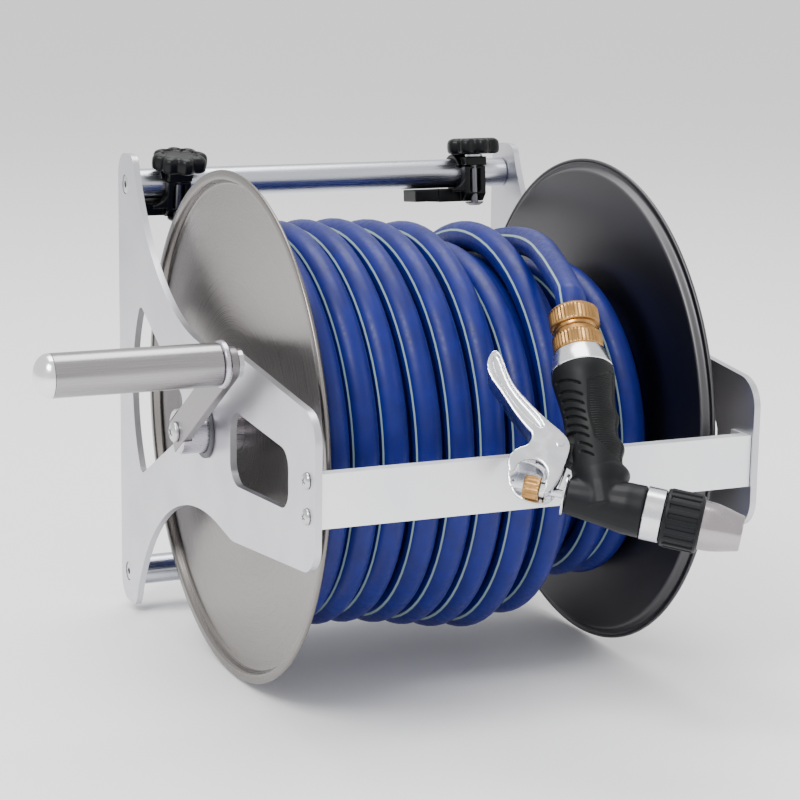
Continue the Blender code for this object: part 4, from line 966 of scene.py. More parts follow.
def swept_hose_tree() -> Tree:
    """A tree that sweeps a round section along a path whose points know which way is outward.

    Returns:
        The tree, with the inputs Radius, Sides and Material.
    """
    known = bpy.data.node_groups.get("swept_hose")
    if known is not None:
        return known
    tree, start = new_tree("swept_hose", [("Radius", "NodeSocketFloat"), ("Sides", "NodeSocketInt"),
                                          ("Material", "NodeSocketMaterial")])
    curve = add(tree, "GeometryNodeMeshToCurve", {"Mesh": start.outputs["Geometry"]})
    outward = add(tree, "GeometryNodeInputNamedAttribute", {"Name": "outward"}, data_type="FLOAT_VECTOR")
    turned = add(tree, "GeometryNodeSetCurveNormal", {"Curve": curve.outputs[0], "Normal": outward.outputs[0]},
                 mode="FREE")
    step = add(tree, "GeometryNodeSplineParameter")
    along = add(tree, "GeometryNodeStoreNamedAttribute", {"Geometry": turned.outputs[0], "Name": "along",
                                                          "Value": step.outputs["Length"]})
    count = add(tree, "FunctionNodeIntegerMath", {0: start.outputs["Sides"], 1: 1}, operation="ADD")
    section = add(tree, "GeometryNodeCurveArc", {"Resolution": count.outputs[0], "Radius": start.outputs["Radius"],
                                                 "Start Angle": -math.pi / 2, "Sweep Angle": math.tau},
                  mode="RADIUS")
    share = add(tree, "GeometryNodeSplineParameter")
    around = add(tree, "GeometryNodeStoreNamedAttribute", {"Geometry": section.outputs["Curve"], "Name": "around",
                                                           "Value": share.outputs["Factor"]})
    swept = add(tree, "GeometryNodeCurveToMesh", {"Curve": along.outputs[0], "Profile Curve": around.outputs[0]})
    u = add(tree, "GeometryNodeInputNamedAttribute", {"Name": "along"}, data_type="FLOAT")
    v = add(tree, "GeometryNodeInputNamedAttribute", {"Name": "around"}, data_type="FLOAT")
    both = add(tree, "ShaderNodeCombineXYZ", {"X": u.outputs[0], "Y": v.outputs[0]})
    chart = add(tree, "GeometryNodeStoreNamedAttribute", {"Geometry": swept.outputs[0]},
                data_type="FLOAT2", domain="CORNER")
    chart.inputs["Name"].default_value = "UVMap"
    tree.links.new(both.outputs[0], chart.inputs["Value"])
    merged = add(tree, "GeometryNodeMergeByDistance", {"Geometry": chart.outputs[0], "Distance": 1e-6})
    end_tree(tree, start, merged.outputs[0])
    return tree


def ring_of_tree() -> Tree:
    """A tree that repeats a shape round the X axis.

    Returns:
        The tree, with the inputs Count and Material.
    """
    known = bpy.data.node_groups.get("ring_of")
    if known is not None:
        return known
    tree, start = new_tree("ring_of", [("Count", "NodeSocketInt"), ("Material", "NodeSocketMaterial")])
    points = add(tree, "GeometryNodePoints", {"Count": start.outputs["Count"]})
    index = add(tree, "GeometryNodeInputIndex")
    share = add(tree, "ShaderNodeMath", {0: index.outputs[0], 1: start.outputs["Count"]}, operation="DIVIDE")
    angle = add(tree, "ShaderNodeMath", {0: share.outputs[0], 1: math.tau}, operation="MULTIPLY")
    turn = add(tree, "ShaderNodeCombineXYZ", {"X": angle.outputs[0]})
    copies = add(tree, "GeometryNodeInstanceOnPoints", {"Points": points.outputs[0],
                                                        "Instance": start.outputs["Geometry"],
                                                        "Rotation": turn.outputs[0]})
    end_tree(tree, start, copies.outputs[0])
    return tree


def ring_of(name: str, shape: Shape, count: int, finish: Finish) -> Shape:
    """Repeat a shape round the X axis.

    Args:
        name: The result's name.
        shape: The shape, which is used up.
        count: How many of it.
        finish: Its finish.

    Returns:
        All of them in one bmesh.
    """
    return as_bmesh(grown(name, as_mesh(name, shape), ring_of_tree(), {"Count": count, "Material": finish.material()}))


@dataclass
class Camera:
    """The camera, fitted to the photograph's perspective."""

    place: tuple[float, float, float] = (-0.55972, -1.36185, 0.16403)
    ahead: tuple[float, float, float] = (0.40410, 0.89093, -0.20724)
    right: tuple[float, float, float] = (0.91196, -0.40998, 0.01573)
    up: tuple[float, float, float] = (0.07095, 0.19535, 0.97816)
    lens_mm: float = 101.467
    sensor_mm: float = 36.0
    nearest: float = 0.05
    farthest: float = 100.0

    def build(self) -> None:
        """Make the camera and look through it."""
        data = bpy.data.cameras.new("camera")
        data.sensor_width = self.sensor_mm
        data.sensor_fit = "HORIZONTAL"
        data.lens = self.lens_mm
        data.clip_start = self.nearest
        data.clip_end = self.farthest
        obj = linked("camera", data)
        turn = Matrix((self.right, self.up, tuple(-Vector(self.ahead)))).transposed()
        obj.matrix_world = Matrix.Translation(self.place) @ turn.to_4x4()
        bpy.context.scene.camera = obj
        LOG.info("camera at %s", self.place)


@dataclass(frozen=True)
class Softbox:
    """A square area light."""

    name: str
    place: tuple[float, float, float]
    size: float
    watts: float

    def build(self, target: Vector) -> None:
        """Make the light.

        Args:
            target: The point that it faces.
        """
        data = bpy.data.lights.new(self.name, "AREA")
        data.size = self.size
        data.energy = self.watts
        obj = linked(self.name, data)
        away = Vector(self.place) - target
        obj.matrix_world = Matrix.Translation(self.place) @ away.to_track_quat("Z", "Y").to_matrix().to_4x4()


@dataclass
class Studio:
    """A pale floor just below the reel, an even pale sky and soft lights."""

    floor_height: float = -0.2775
    floor_half: float = 14.0
    sky: float = 1.15
    target: tuple[float, float, float] = (0.0, -0.15, -0.1)
    lights: tuple[Softbox, ...] = (Softbox("key", (-1.4, -1.2, 1.7), 1.0, 48.0),
                                   Softbox("fill", (1.7, -1.5, 0.8), 1.0, 5.0),
                                   Softbox("top", (0.1, 0.4, 2.0), 1.4, 40.0))

    def build(self) -> None:
        """Make the floor, the lights and the world."""
        sheet = bmesh.new()
        half = self.floor_half
        sheet.faces.new([sheet.verts.new((x, y, self.floor_height))
                         for x, y in ((-half, -half), (half, -half), (half, half), (-half, half))])
        floor = linked("floor", as_mesh("floor", sheet))
        floor.data.materials.append(FLOOR.material())
        for light in self.lights:
            light.build(Vector(self.target))
        world = bpy.data.worlds.new("studio")
        world.use_nodes = True
        background = world.node_tree.nodes["Background"]
        background.inputs["Color"].default_value = (self.sky,) * 3 + (1.0,)
        background.inputs["Strength"].default_value = 1.0
        bpy.context.scene.world = world


@dataclass
class SprayFrame:
    """The spray gun's frame: X along its barrel, Z up in the plane of barrel and handle; angles in degrees."""

    place: tuple[float, float, float] = (0.0117, -0.2160, -0.0055)
    yaw: float = 35.2
    down: float = 9.2
    lean: float = 38.9
    handle_angle: float = 110.5
    handle_offset: float = 0.0022
    coupler_end: float = 0.1164

    def gun(self) -> Matrix:
        """Find the gun's place.

        Returns:
            Its matrix in the world.
        """
        turn = (Matrix.Rotation(-math.radians(self.yaw), 4, "Z") @ Matrix.Rotation(math.radians(self.down), 4, "Y")
                @ Matrix.Rotation(-math.radians(self.lean), 4, "X"))
        return Matrix.Translation(AXIS + Vector(self.place)) @ turn

    def handle(self) -> Matrix:
        """Find the handle's place, with X running up it.

        Returns:
            Its matrix in the world.
        """
        inside = (Matrix.Rotation(-math.radians(self.handle_angle), 4, "Y")
                  @ Matrix.Translation((0, 0, self.handle_offset)))
        return self.gun() @ inside


@dataclass
class WoundHose:
    """The hose on the drum: the outer layer, the low turns beside the right disc, and what lies under them.

    The outer layer runs from the crank's side, and a point of it is named by the turns from its start. Growth,
    pitch and loosening are metres per turn. Leaving, diving and hidden_end are the turns that a change takes.
    """

    radius: float = 0.1112
    growth: float = 0.0008
    sag: float = 0.0092
    pitch: float = 0.0176
    loosening: float = 0.0032
    sway: float = 0.0040
    dip: float = 0.0110
    dipped_turn: int = 6
    to_top: int = 7
    margin: float = 0.0012
    leaving: float = 0.9
    last_step: float = 0.0030
    last_drop: float = 0.0110
    under_drop: float = 0.0138
    under_dip: float = 0.0030
    under_dive: float = 0.010
    diving: float = 0.7
    low_radius: float = 0.0900
    low_pitch: float = 0.0177
    low_turns: float = 1.7
    low_start: float = math.radians(160.0)
    tail_start: float = math.radians(150.0)
    hidden_end: float = 0.30
    hidden_drop: float = 0.020
    under_start: float = -0.2
    under_end: float = 0.15
    points_per_turn: int = 72
    exit_steps: int = 24
    sides: int = 32
    stripe_lean: float = math.radians(-24.0)
    core: tuple[tuple[float, float], ...] = ((-0.1128, 0.0), (-0.1128, 0.0905), (0.046, 0.0905), (0.052, 0.083),
                                             (0.062, 0.083), (0.066, 0.0806), (0.1128, 0.0806), (0.1128, 0.0))

    @property
    def start_x(self) -> float:
        """The middle of the first turn."""
        return -(DISC_FACE - GAP - self.margin - HOSE_RADIUS)

    @property
    def turns(self) -> float:
        """Turns of the outer layer."""
        return self.to_top + 1.0 - (self.tail_start - math.pi / 2) / math.tau

    def at(self, x: float, radius: float, angle: float, sag: float) -> Vector:
        """A point of the winding in the world."""
        return AXIS + Vector((x, -radius * math.cos(angle), radius * math.sin(angle) - sag))

    def dipped(self, t: float) -> float:
        """How far one turn dips between its neighbours at the top, as a share."""
        near = max(0.0, math.sin(math.pi / 2 - math.tau * t)) ** 2
        return near if abs(t - self.dipped_turn) < 0.25 else 0.0

    def hang(self, t: float) -> float:
        """How far the winding sags: its first two turns lie tight, and the slack grows over the next five."""
        return self.sag * ease((t - 2) / 5)

    def outer(self, t: float) -> Vector:
        """Find a point of the outer layer, which dives under before its start, out of sight behind the disc.

        Args:
            t: Turns from its start.

        Returns:
            The point in the world.
        """
        angle = math.pi / 2 - math.tau * t
        last = ease((t - (self.turns - self.leaving)) / self.leaving)
        sway = self.sway * ease((t - 3) / 3) * (1 - last)
        x = (self.start_x + self.pitch * max(0.0, t) + self.loosening * max(0.0, t - 2.5)
             + sway * (math.sin(angle) - math.cos(angle)) + self.last_step * last)
        radius = (self.radius + self.growth * max(0.0, t - 2) - self.dip * self.dipped(t) - self.last_drop * last
                  - self.hidden_drop * ease(-t / self.hidden_end))
        return self.at(x, radius, angle, self.hang(t))

    def low(self, t: float) -> Vector:
        """Find a point of the low turns beside the right disc, whose ends dive under.

        Args:
            t: Turns from their start.

        Returns:
            The point in the world.
        """
        start = DISC_FACE - GAP - self.margin - HOSE_RADIUS - self.low_pitch * self.low_turns
        hidden = ease(-t / self.hidden_end) + ease((t - self.low_turns) / self.hidden_end)
        return self.at(start + self.low_pitch * min(max(t, 0.0), self.low_turns),
                       self.low_radius - self.hidden_drop * hidden, self.low_start - math.tau * t, self.sag)

    def under(self, t: float) -> Vector:
        """Find a point of the layer below the outer one, which lies in its grooves.

        Args:
            t: Turns from the outer layer's start.

        Returns:
            The point in the world.
        """
        near, far = self.outer(max(t, 0.0)), self.outer(max(t, 0.0) + 1.0)
        dive = ease((t - (self.turns - self.leaving)) / self.diving)
        drop = self.under_drop + self.under_dip * (self.dipped(t) + self.dipped(t + 1.0)) + self.under_dive * dive
        radius = self.radius + self.growth * max(0.0, t - 2) - drop
        return self.at((near.x + far.x) / 2, radius, math.pi / 2 - math.tau * t, self.hang(t))

    def route(self, layer: Callable[[float], Vector], first: float, last: float) -> list[Vector]:
        """Points of a layer.

        Args:
            layer: The layer's function.
            first: The turn that it starts at.
            last: The turn that it ends at.

        Returns:
            The points.
        """
        count = round((last - first) * self.points_per_turn)
        return [layer(first + (last - first) * i / count) for i in range(count + 1)]

    def tail_exit(self) -> tuple[Vector, Vector]:
        """Find where the free hose leaves the outer layer.

        Returns:
            The point, and the hose's direction there.
        """
        count = round(self.turns * self.exit_steps)
        before, end = self.outer(self.turns * (count - 1) / count), self.outer(self.turns)
        away = (end - before).normalized()
        return end + away * (2 * HOSE_RADIUS + GAP), away

    def sweep(self, name: str, points: Sequence[Vector]) -> Shape:
        """Sweep the hose's section along points.

        Args:
            name: The mesh's name.
            points: The route.

        Returns:
            The closed tube with its map.
        """
        source = bpy.data.meshes.new(name + "_path")
        source.from_pydata([tuple(p) for p in points], [(i, i + 1) for i in range(len(points) - 1)], [])
        facing = source.attributes.new("outward", "FLOAT_VECTOR", "POINT")
        for item, point in zip(facing.data, points):
            item.vector = self.radial(point)
        tube = as_bmesh(grown(name, source, swept_hose_tree(), {"Radius": HOSE_RADIUS, "Sides": self.sides,
                                                                "Material": HOSE.material()}))
        bmesh.ops.holes_fill(tube, edges=[e for e in tube.edges if e.is_boundary])
        return tube

    def radial(self, point: Vector) -> Vector:
        """Find the direction that the stripe's side faces: outward, leaning towards the water inlet.

        Args:
            point: A point of the hose.

        Returns:
            The direction.
        """
        out = Vector((0.0, point.y - AXIS.y, point.z - AXIS.z + self.sag)).normalized()
        side = Vector((-1.0, 0.0, 0.0))
        return (out * math.cos(self.stripe_lean) + side * math.sin(self.stripe_lean)).normalized()

    def build(self) -> None:
        """Make the wound hose."""
        exit_point, away = self.tail_exit()
        outer = self.route(self.outer, -self.hidden_end, self.turns)
        outer += [outer[-1] + away * HOSE_RADIUS, exit_point - away * GAP]
        piece("hose_winding", self.sweep("hose_outer_layer", outer), HOSE, Body.DRUM, 60, "hose_outer_layer")
        low = self.route(self.low, -self.hidden_end, self.low_turns + self.hidden_end)
        piece("hose_low_turns", self.sweep("hose_lower_turns", low), HOSE, Body.DRUM, 60, "hose_lower_turns")
        under = self.sweep("hose_under_layer", self.route(self.under, self.under_start, self.turns - self.under_end))
        core = lathe(self.core, Matrix.Translation(AXIS - Vector((0, 0, self.sag))), 96)
        piece("hose_core", joined(under, core), HOSE, Body.DRUM, 60, "hose_inner_layers")


@dataclass
class FreeHose:
    """The hose's free end, from the last turn over the top to the spray gun's coupling."""

    knots: tuple = ((0.0625, 0.062, 0.0770), (0.0640, 0.030, 0.0950), (0.0635, 0.005, 0.1015),
                    (0.0605, -0.025, 0.1047), (0.0530, -0.056, 0.1051), (0.0450, -0.082, 0.1030),
                    (0.0375, -0.107, 0.0994))
    length: float = 0.252
    samples: int = 12

    def route(self, wound: WoundHose, spray: SprayFrame) -> list[Vector]:
        """The route's points, dense enough to sweep.

        Args:
            wound: The winding that it leaves.
            spray: The spray gun's frame.

        Returns:
            The points from the winding to the coupling.
        """
        start, away = wound.tail_exit()
        handle = spray.handle()
        end = handle @ Vector((spray.coupler_end + GAP, 0, 0))
        down = (handle.to_3x3() @ Vector((1, 0, 0))).normalized()
        knots = [start, start + away * HOSE_RADIUS] + [AXIS + Vector(p) for p in self.knots]
        knots += [end + down * HOSE_RADIUS, end]
        points = [start]
        for a, b, c, d in zip(knots, knots[1:], knots[2:], knots[3:]):
            points += [between(a, b, c, d, k / self.samples) for k in range(self.samples)]
        return points + [knots[-2], knots[-1]]

    def build(self, wound: WoundHose, spray: SprayFrame, coupling: Object) -> None:
        """Args:
            wound: The winding that it leaves.
            spray: The spray gun's frame.
            coupling: The nut that it ends in; not used.
        """
        points = self.route(wound, spray)
        tube = piece("hose_tail", wound.sweep("free_hose", points), HOSE, Body.FRAME, 60, "free_hose")


@dataclass
class SidePlate:
    """A cut plate: two horns, a waist and a front arm, two slots, and the holes for the axle and the tubes."""

    side: Side
    rear: float = 0.164
    horn: float = 0.146
    horn_width: float = 0.0295
    reach: float = 0.1705
    root: tuple[float, float] = (0.046, 0.0552)
    tip_height: float = 0.042
    waist_end: float = 0.026
    waist_height: float = 0.0495
    waist_radius: float = 0.142
    broken_edge: float = 0.0004

    def outline(self) -> list:
        """Lay out the plate's edge round the drum's axis.

        Returns:
            The points, (y, z).
        """
        centre = self.waist_height + self.waist_radius
        first = -math.asin((centre - self.horn) / self.waist_radius)
        last = -(math.pi - math.acos(self.waist_end / self.waist_radius))
        waist = [p for p in arc((0.0, centre), self.waist_radius, first, last, 72) if p[1] < self.horn - 0.008]
        front = self.rear - self.horn_width
        horn = rounded([(self.rear, 0.0, 0), (self.rear, self.horn, 0.014), (front, self.horn, 0.009),
                        (*waist[0], 0)], 14)
        tip = rounded([(-self.root[0], self.root[1], 0.030), (-self.reach, self.tip_height, 0.017),
                       (-self.reach, 0.0, 0), (*waist[-1], 0)], 14)
        half = [p for p in horn if p[1] > 0.0][:-1] + waist + [p for p in tip if p[1] > 0.0 and p != waist[-1]]
        return half + [(y, -z) for y, z in reversed(half)]

    def holes(self) -> list:
        """Lay out the rear slot, the front slot, and the holes for the axle and the tubes.

        Returns:
            Their closed outlines.
        """
        bow = arc((0.0365, 0.0), 0.1005, math.radians(-33), math.radians(33), 60)
        rear = rounded([(0.040, 0.012, 0.007), (0.040, -0.012, 0.007)]
                       + [(y, z, 0.006 if i in (0, 60) else 0) for i, (y, z) in enumerate(bow)], 12)
        front = rounded([(-0.043, 0.022, 0.013), (-0.133, 0.016, 0.011), (-0.133, -0.016, 0.011),
                         (-0.043, -0.022, 0.013)], 12)
        return [rear, front, circle(0.0, 0.0, 0.0163, 64),
                circle(AXLE_DEPTH, TUBE_SPACING / 2, 0.0061, 40), circle(AXLE_DEPTH, -TUBE_SPACING / 2, 0.0061, 40)]

    def build(self) -> None:
        """Make the plate."""
        low, high = sorted((self.side.value * PLATE_INNER, self.side.value * PLATE_OUTER))
        sheet = prism(self.outline(), low, high, self.holes(), Matrix.Translation(AXIS))
        softened(piece(f"{self.side.label}_side_plate", sheet, PLATE, Body.FRAME), self.broken_edge)


@dataclass
class FrontBar:
    """The folded bar, and every screw that shows on the plates: the bar's own and the tubes'."""

    nodes: dict[str, Object]
    broken_edge: float = 0.0005
    screw_heights: tuple[float, float] = (0.0066, -0.0126)
    screw_y: float = -0.1598
    head: float = 0.0046
    crown: float = 0.0021
    shank: float = 0.0019
    socket: float = 0.0024
    sunk_shank: float = 0.0030

    def build(self) -> None:
        """Make the bar and every screw head that shows on the plates."""
        softened(piece("front_bar", cad_copy(self.nodes["front_bar"]), BAR, Body.FRAME), self.broken_edge)
        for side in Side:
            face = on_axle(side)
            for level, z in zip(("upper", "lower"), self.screw_heights):
                self.pan_head(f"{level}_bar_screw_{side.label}", face @ Matrix.Translation((0, self.screw_y, z)))
            for level, z in (("top", TUBE_SPACING / 2), ("bottom", -TUBE_SPACING / 2)):
                self.sunk_head(f"{level}_tube_screw_{side.label}",
                               face @ Matrix.Translation((0, AXLE_DEPTH, z)))

    def pan_head(self, node: str, place: Matrix) -> None:
        """Make a shiny pan head with a cross recess, on its shank.

        Args:
            node: The CAD node that it stands for.
            place: Where its axis is; X runs out of the plate.
        """
        seat = PLATE_OUTER + GAP
        top = seat + self.crown
        shape = lathe([(top, 0.0), *curved([(top, 0.0012), (top - 0.0003, 0.0027), (top - 0.0010, 0.0041),
                                            (seat + 0.0001, self.head)], 5), (seat, self.head - 0.0001),
                       (seat, self.shank), (PLATE_OUTER - 0.0085, self.shank), (PLATE_OUTER - 0.0085, 0.0)],
                      steps=48)
        head = carved(shape, *cross_recess(0.0023, 0.00045, 0.0002, top - 0.0009, top + 0.001, 0.4))
        head.transform(place)
        piece(node, head, SCREW, Body.FRAME, 40)

    def sunk_head(self, node: str, place: Matrix) -> None:
        """Make a countersunk head with a hexagon socket, flush with the plate.

        Args:
            node: The CAD node that it stands for.
            place: Where its axis is; X runs out of the plate.
        """
        face = PLATE_OUTER - GAP
        shape = lathe([(face, 0.0), (face, 0.0054), (face - 0.0002, 0.0057), (face - 0.0027, self.sunk_shank),
                       (PLATE_OUTER - 0.014, self.sunk_shank), (PLATE_OUTER - 0.014, 0.0)], steps=48)
        head = carved(shape, prism(circle(0.0, 0.0, self.socket, 6), face - 0.0022, face + 0.001))
        head.transform(place)
        piece(node, head, SCREW, Body.FRAME, 40)


@dataclass
class SpacerTube:
    """A tube between the plates."""

    level: str
    height: float
    radius: float = 0.0095
    chamfer: float = 0.0004

    def build(self) -> None:
        """Make the tube."""
        reach, small = PLATE_INNER - GAP, self.radius - self.chamfer
        shape = lathe([(-reach, 0.0), (-reach, small), (-reach + self.chamfer, self.radius),
                       (reach - self.chamfer, self.radius), (reach, small), (reach, 0.0)],
                      Matrix.Translation((0.0, 0.0, self.height)), 96)
        piece(f"{self.level}_tube", shape, TUBE, Body.FRAME)


@dataclass
class Disc:
    """A spun disc: a flat face, a step outward and a rolled rim."""

    side: Side
    radius: float = 0.150
    sheet: float = 0.0012
    hole: float = 0.0136

    def build(self) -> None:
        """Make the disc."""
        face, edge = DISC_FACE, self.radius
        outside = [(face + self.sheet, self.hole), (face + self.sheet, edge - 0.0088),
                   (face + 0.0018, edge - 0.0074), (face + 0.0050, edge - 0.0058), (face + 0.0060, edge - 0.0044),
                   (face + 0.0060, edge - 0.0014)]
        bead = [(face + 0.0058, edge - 0.0005), (face + 0.0050, edge), (face + 0.0041, edge - 0.0003),
                (face + 0.0038, edge - 0.0012)]
        inside = [(face + 0.0047, edge - 0.0022), (face + 0.0048, edge - 0.0042), (face + 0.0040, edge - 0.0052),
                  (face + 0.0008, edge - 0.0068), (face, edge - 0.0084), (face, self.hole)]
        rim = curved(outside[1:] + bead + inside[:-1], 4)
        shape = lathe([outside[0], *rim, inside[-1]], steps=256)
        shape.transform(on_axle(self.side))
        # The right disc takes the darker copy of the same steel: painted shade.
        finish = DISC if self.side is Side.LEFT else SHADED_DISC
        piece(f"{self.side.label}_disc", shape, finish, Body.DRUM, 40)


@dataclass
class Crank:
    """The slotted hub on the axle, the flat arm with its screw, and the turning grip."""

    reach: float = 0.101
    angle: float = math.radians(33.4)
    arm_width: float = 0.0188
    arm_thickness: float = 0.005
    grip_radius: float = 0.012
    grip_length: float = 0.097
    hub_end: float = -0.152
    hub_chamfer: float = 0.0008
    axle_end: float = 0.1578
    tail_share: float = 0.72
    screw_height: float = 0.0032
    screw_radius: float = 0.0060
    screw_end: float = -0.132
    grip_wall: float = 0.0025
    cap_height: float = 0.0088

    def arm_outline(self, room: float, through: bool) -> list:
        """Lay out the arm, turned to the crank's angle, or the slot that it lies in.

        Args:
            room: How far the outline stands off from the arm.
            through: Whether it runs right across the hub, as the slot does.

        Returns:
            The outline's points.
        """
        half = self.arm_width / 2 + room
        tail = -0.02 if through else -AXLE_RADIUS * self.tail_share
        end = [(0.02, half), (0.02, -half)] if through else arc((self.reach, 0.0), half, math.pi / 2,
                                                                -math.pi / 2, 40)
        turn = Matrix.Rotation(math.pi - self.angle, 2)
        return [tuple(turn @ Vector(p)) for p in [(tail, -half), (tail, half), *end]]

    def build(self) -> None:
        """Make the axle, the arm, its screw and the grip."""
        place = Matrix.Translation(AXIS)
        hub = lathe([(self.hub_end, 0.0), (self.hub_end, AXLE_RADIUS - self.hub_chamfer),
                     (self.hub_end + self.hub_chamfer, AXLE_RADIUS), (self.axle_end, AXLE_RADIUS),
                     (self.axle_end, 0.0)], steps=96)
        slot = prism(self.arm_outline(GAP, True), self.hub_end - 0.005, self.hub_end + self.arm_thickness + GAP)
        axle = carved(hub, slot)
        axle.transform(place)
        softened(piece("main_axle", axle, HUB_STEEL, Body.DRUM, name="axle_dressed"), 0.0003)
        arm = prism(self.arm_outline(0.0, False), self.hub_end, self.hub_end + self.arm_thickness, (), place)
        softened(piece("crank_arm", arm, ARM_STEEL, Body.DRUM), 0.0007, 3)
        self.build_screw()
        self.build_grip()

    def build_screw(self) -> None:
        """Make the screw that holds the arm in the hub."""
        seat = self.hub_end - GAP
        head = seat - self.screw_height
        crown = curved([(head, 0.0024), (head + 0.0005, 0.0044), (head + 0.0016, 0.0058), (seat, self.screw_radius)],
                       5)
        screw = lathe([(head, 0.0), *crown, (seat, 0.003), (self.screw_end, 0.003), (self.screw_end, 0.0)], steps=64)
        crossed = carved(screw, *cross_recess(0.0030, 0.0006, 0.0003, head - 0.001, head + 0.0014, 0.5))
        crossed.transform(Matrix.Translation(AXIS))
        piece("crank_screw", crossed, SCREW, Body.DRUM, 40)

    def build_grip(self) -> None:
        """Make the tube grip, its collar and its domed cap."""
        place = Matrix.Translation(AXIS + Vector((0, -self.reach * math.cos(self.angle),
                                                  self.reach * math.sin(self.angle))))
        start = self.hub_end - GAP
        end = start - self.grip_length
        wide = self.grip_radius + 0.0012
        collar = lathe([(start - 0.004, 0.0053), (start - 0.004, wide - 0.0014), (start - 0.0034, wide - 0.0004),
                        (start - 0.0024, wide), (start - 0.0012, wide), (start, wide - 0.0012), (start, 0.0053)],
                       place, 96)
        piece("grip_collar", collar, HUB_STEEL, Body.GRIP)
        bore = self.grip_radius - self.grip_wall
        tube = lathe([(end, bore), (end, self.grip_radius - 0.0003), (end + 0.0003, self.grip_radius),
                      (start - 0.0046, self.grip_radius), (start - 0.0043, self.grip_radius - 0.0003),
                      (start - 0.0043, bore)], place, 96)
        piece("crank_grip", tube, GRIP_STEEL, Body.GRIP)
        dome = [(end - GAP - self.cap_height * math.sin(t), self.grip_radius * math.cos(t))
                for t in (math.radians(a) for a in range(90, -1, -6))]
        dome[0] = (dome[0][0], 0.0)
        plug = self.grip_radius - 0.0028
        cap = lathe([*dome, (end - GAP, plug), (end + 0.006, plug), (end + 0.006, 0.0)], place, 96)
        piece("grip_cap", cap, CAP, Body.GRIP)


@dataclass
class Bushing:
    """A flanged acetal bushing in a side plate."""

    side: Side
    outer: float = 0.0160
    flange: float = 0.01666
    flange_height: float = 0.0015
    chamfer: float = 0.0004

    def build(self) -> None:
        """Make the bushing."""
        inner, start, seat = AXLE_RADIUS + GAP, PLATE_INNER + GAP, PLATE_OUTER + GAP
        top = seat + self.flange_height
        shape = lathe([(start, inner), (start, self.outer), (seat, self.outer), (seat, self.flange),
                       (top - self.chamfer, self.flange), (top, self.flange - self.chamfer), (top, inner)], steps=96)
        shape.transform(on_axle(self.side))
        piece(f"{self.side.label}_bushing", shape, ACETAL, Body.FRAME)


@dataclass
class PipeClamp:
    """A moulded clamp on the top tube: a strap that runs into its foot, a cap and a star knob."""

    side: Side
    nodes: dict[str, Object]
    spacing: float = 0.207
    strap_half: float = 0.0075
    foot_top: float = -0.0101
    bolt_y: float = -0.0127
    knob_base: float = 0.0126
    knob_height: float = 0.0105
    knob_radius: float = 0.0178
    dent: float = 0.0029
    lobes: int = 8
    fillet_radius: float = 0.0095
    fillet_span: tuple[float, float] = (0.0102, 0.0154)
    leans: tuple[float, float] = (10.0, -6.0)
    voxel: float = 0.00048

    @property
    def place(self) -> Matrix:
        """Where the clamp sits; the left one and the right one lean differently, in degrees."""
        lean = math.radians(self.leans[self.side is Side.RIGHT])
        return Matrix.Translation((self.side.value * self.spacing / 2, 0, 0)) @ Matrix.Rotation(lean, 4, "X")

    def fillet(self) -> Shape:
        """Make the curve by which the strap runs into the foot.

        Returns:
            The shape.
        """
        radius = self.fillet_radius
        x, z = -self.strap_half, self.foot_top
        bend = arc((x - radius, z + radius), radius, 0.0, -math.pi / 2, 16)
        outline = [(x + 0.002, z - 0.002), (x + 0.002, z + radius), *bend, (x - radius, z - 0.002)]
        return prism(outline, *self.fillet_span, (), crosswise(self.place))

    def knob(self) -> Shape:
        """Make the star knob: soft lobes round a shallow dish.

        Returns:
            The shape.
        """
        low, top, wide = self.knob_base, self.knob_base + self.knob_height, self.knob_radius
        rim = curved([(low, wide - 0.0026), (low + 0.0007, wide - 0.0009), (low + 0.0024, wide),
                      (top - 0.0036, wide), (top - 0.0014, wide - 0.0010), (top - 0.0003, wide - 0.0030),
                      (top, wide - 0.0046), (top - 0.0004, wide - 0.0058), (top - 0.0012, wide - 0.0070)], 4)
        profile = [(low, 0.0), (low, wide - 0.008), *rim, (top - 0.0014, 0.0050), (top - 0.0014, 0.0)]

        def lobed(along: float, radius: float, angle: float) -> float:
            """The radius with the dents between its lobes."""
            dent = self.dent * (0.5 - 0.5 * math.cos(self.lobes * angle)) ** 1.6
            return radius - dent * ease((radius - 0.0085) / 0.0060)

        upright = self.place @ Matrix.Translation((0, self.bolt_y, 0)) @ Matrix.Rotation(-math.pi / 2, 4, "Y")
        return lathe(profile, upright, 192, lobed)

    def build(self) -> None:
        """Make the clamp's mouldings."""
        label = self.side.label
        body = Body[f"{label.upper()}_CLAMP"]
        for part in ("base", "cap", "end_block") if self.side is Side.RIGHT else ("base", "cap"):
            node = f"{label}_clamp_{part}"
            shape = cad_copy(self.nodes[node])
            if part == "base":
                shape = joined(shape, self.fillet())
            piece(node, moulded(shape, self.voxel, 4), CLAMP, body, 70)
        piece(f"{label}_knob", self.knob(), CLAMP, Body[f"{label.upper()}_KNOB"], 50)


@dataclass(frozen=True)
class Knurl:
    """The wave that gives a nut a knurled band."""

    start: float
    end: float
    teeth: int
    depth: float

    def __call__(self, along: float, radius: float, angle: float) -> float:
        """Find the radius with its teeth.

        Args:
            along: The place along the nut's axis.
            radius: The plain radius.
            angle: The angle from Z towards Y.

        Returns:
            The radius there.
        """
        if not self.start < along < self.end:
            return radius
        return radius - self.depth * abs((angle / math.tau * self.teeth) % 1.0 * 2 - 1)


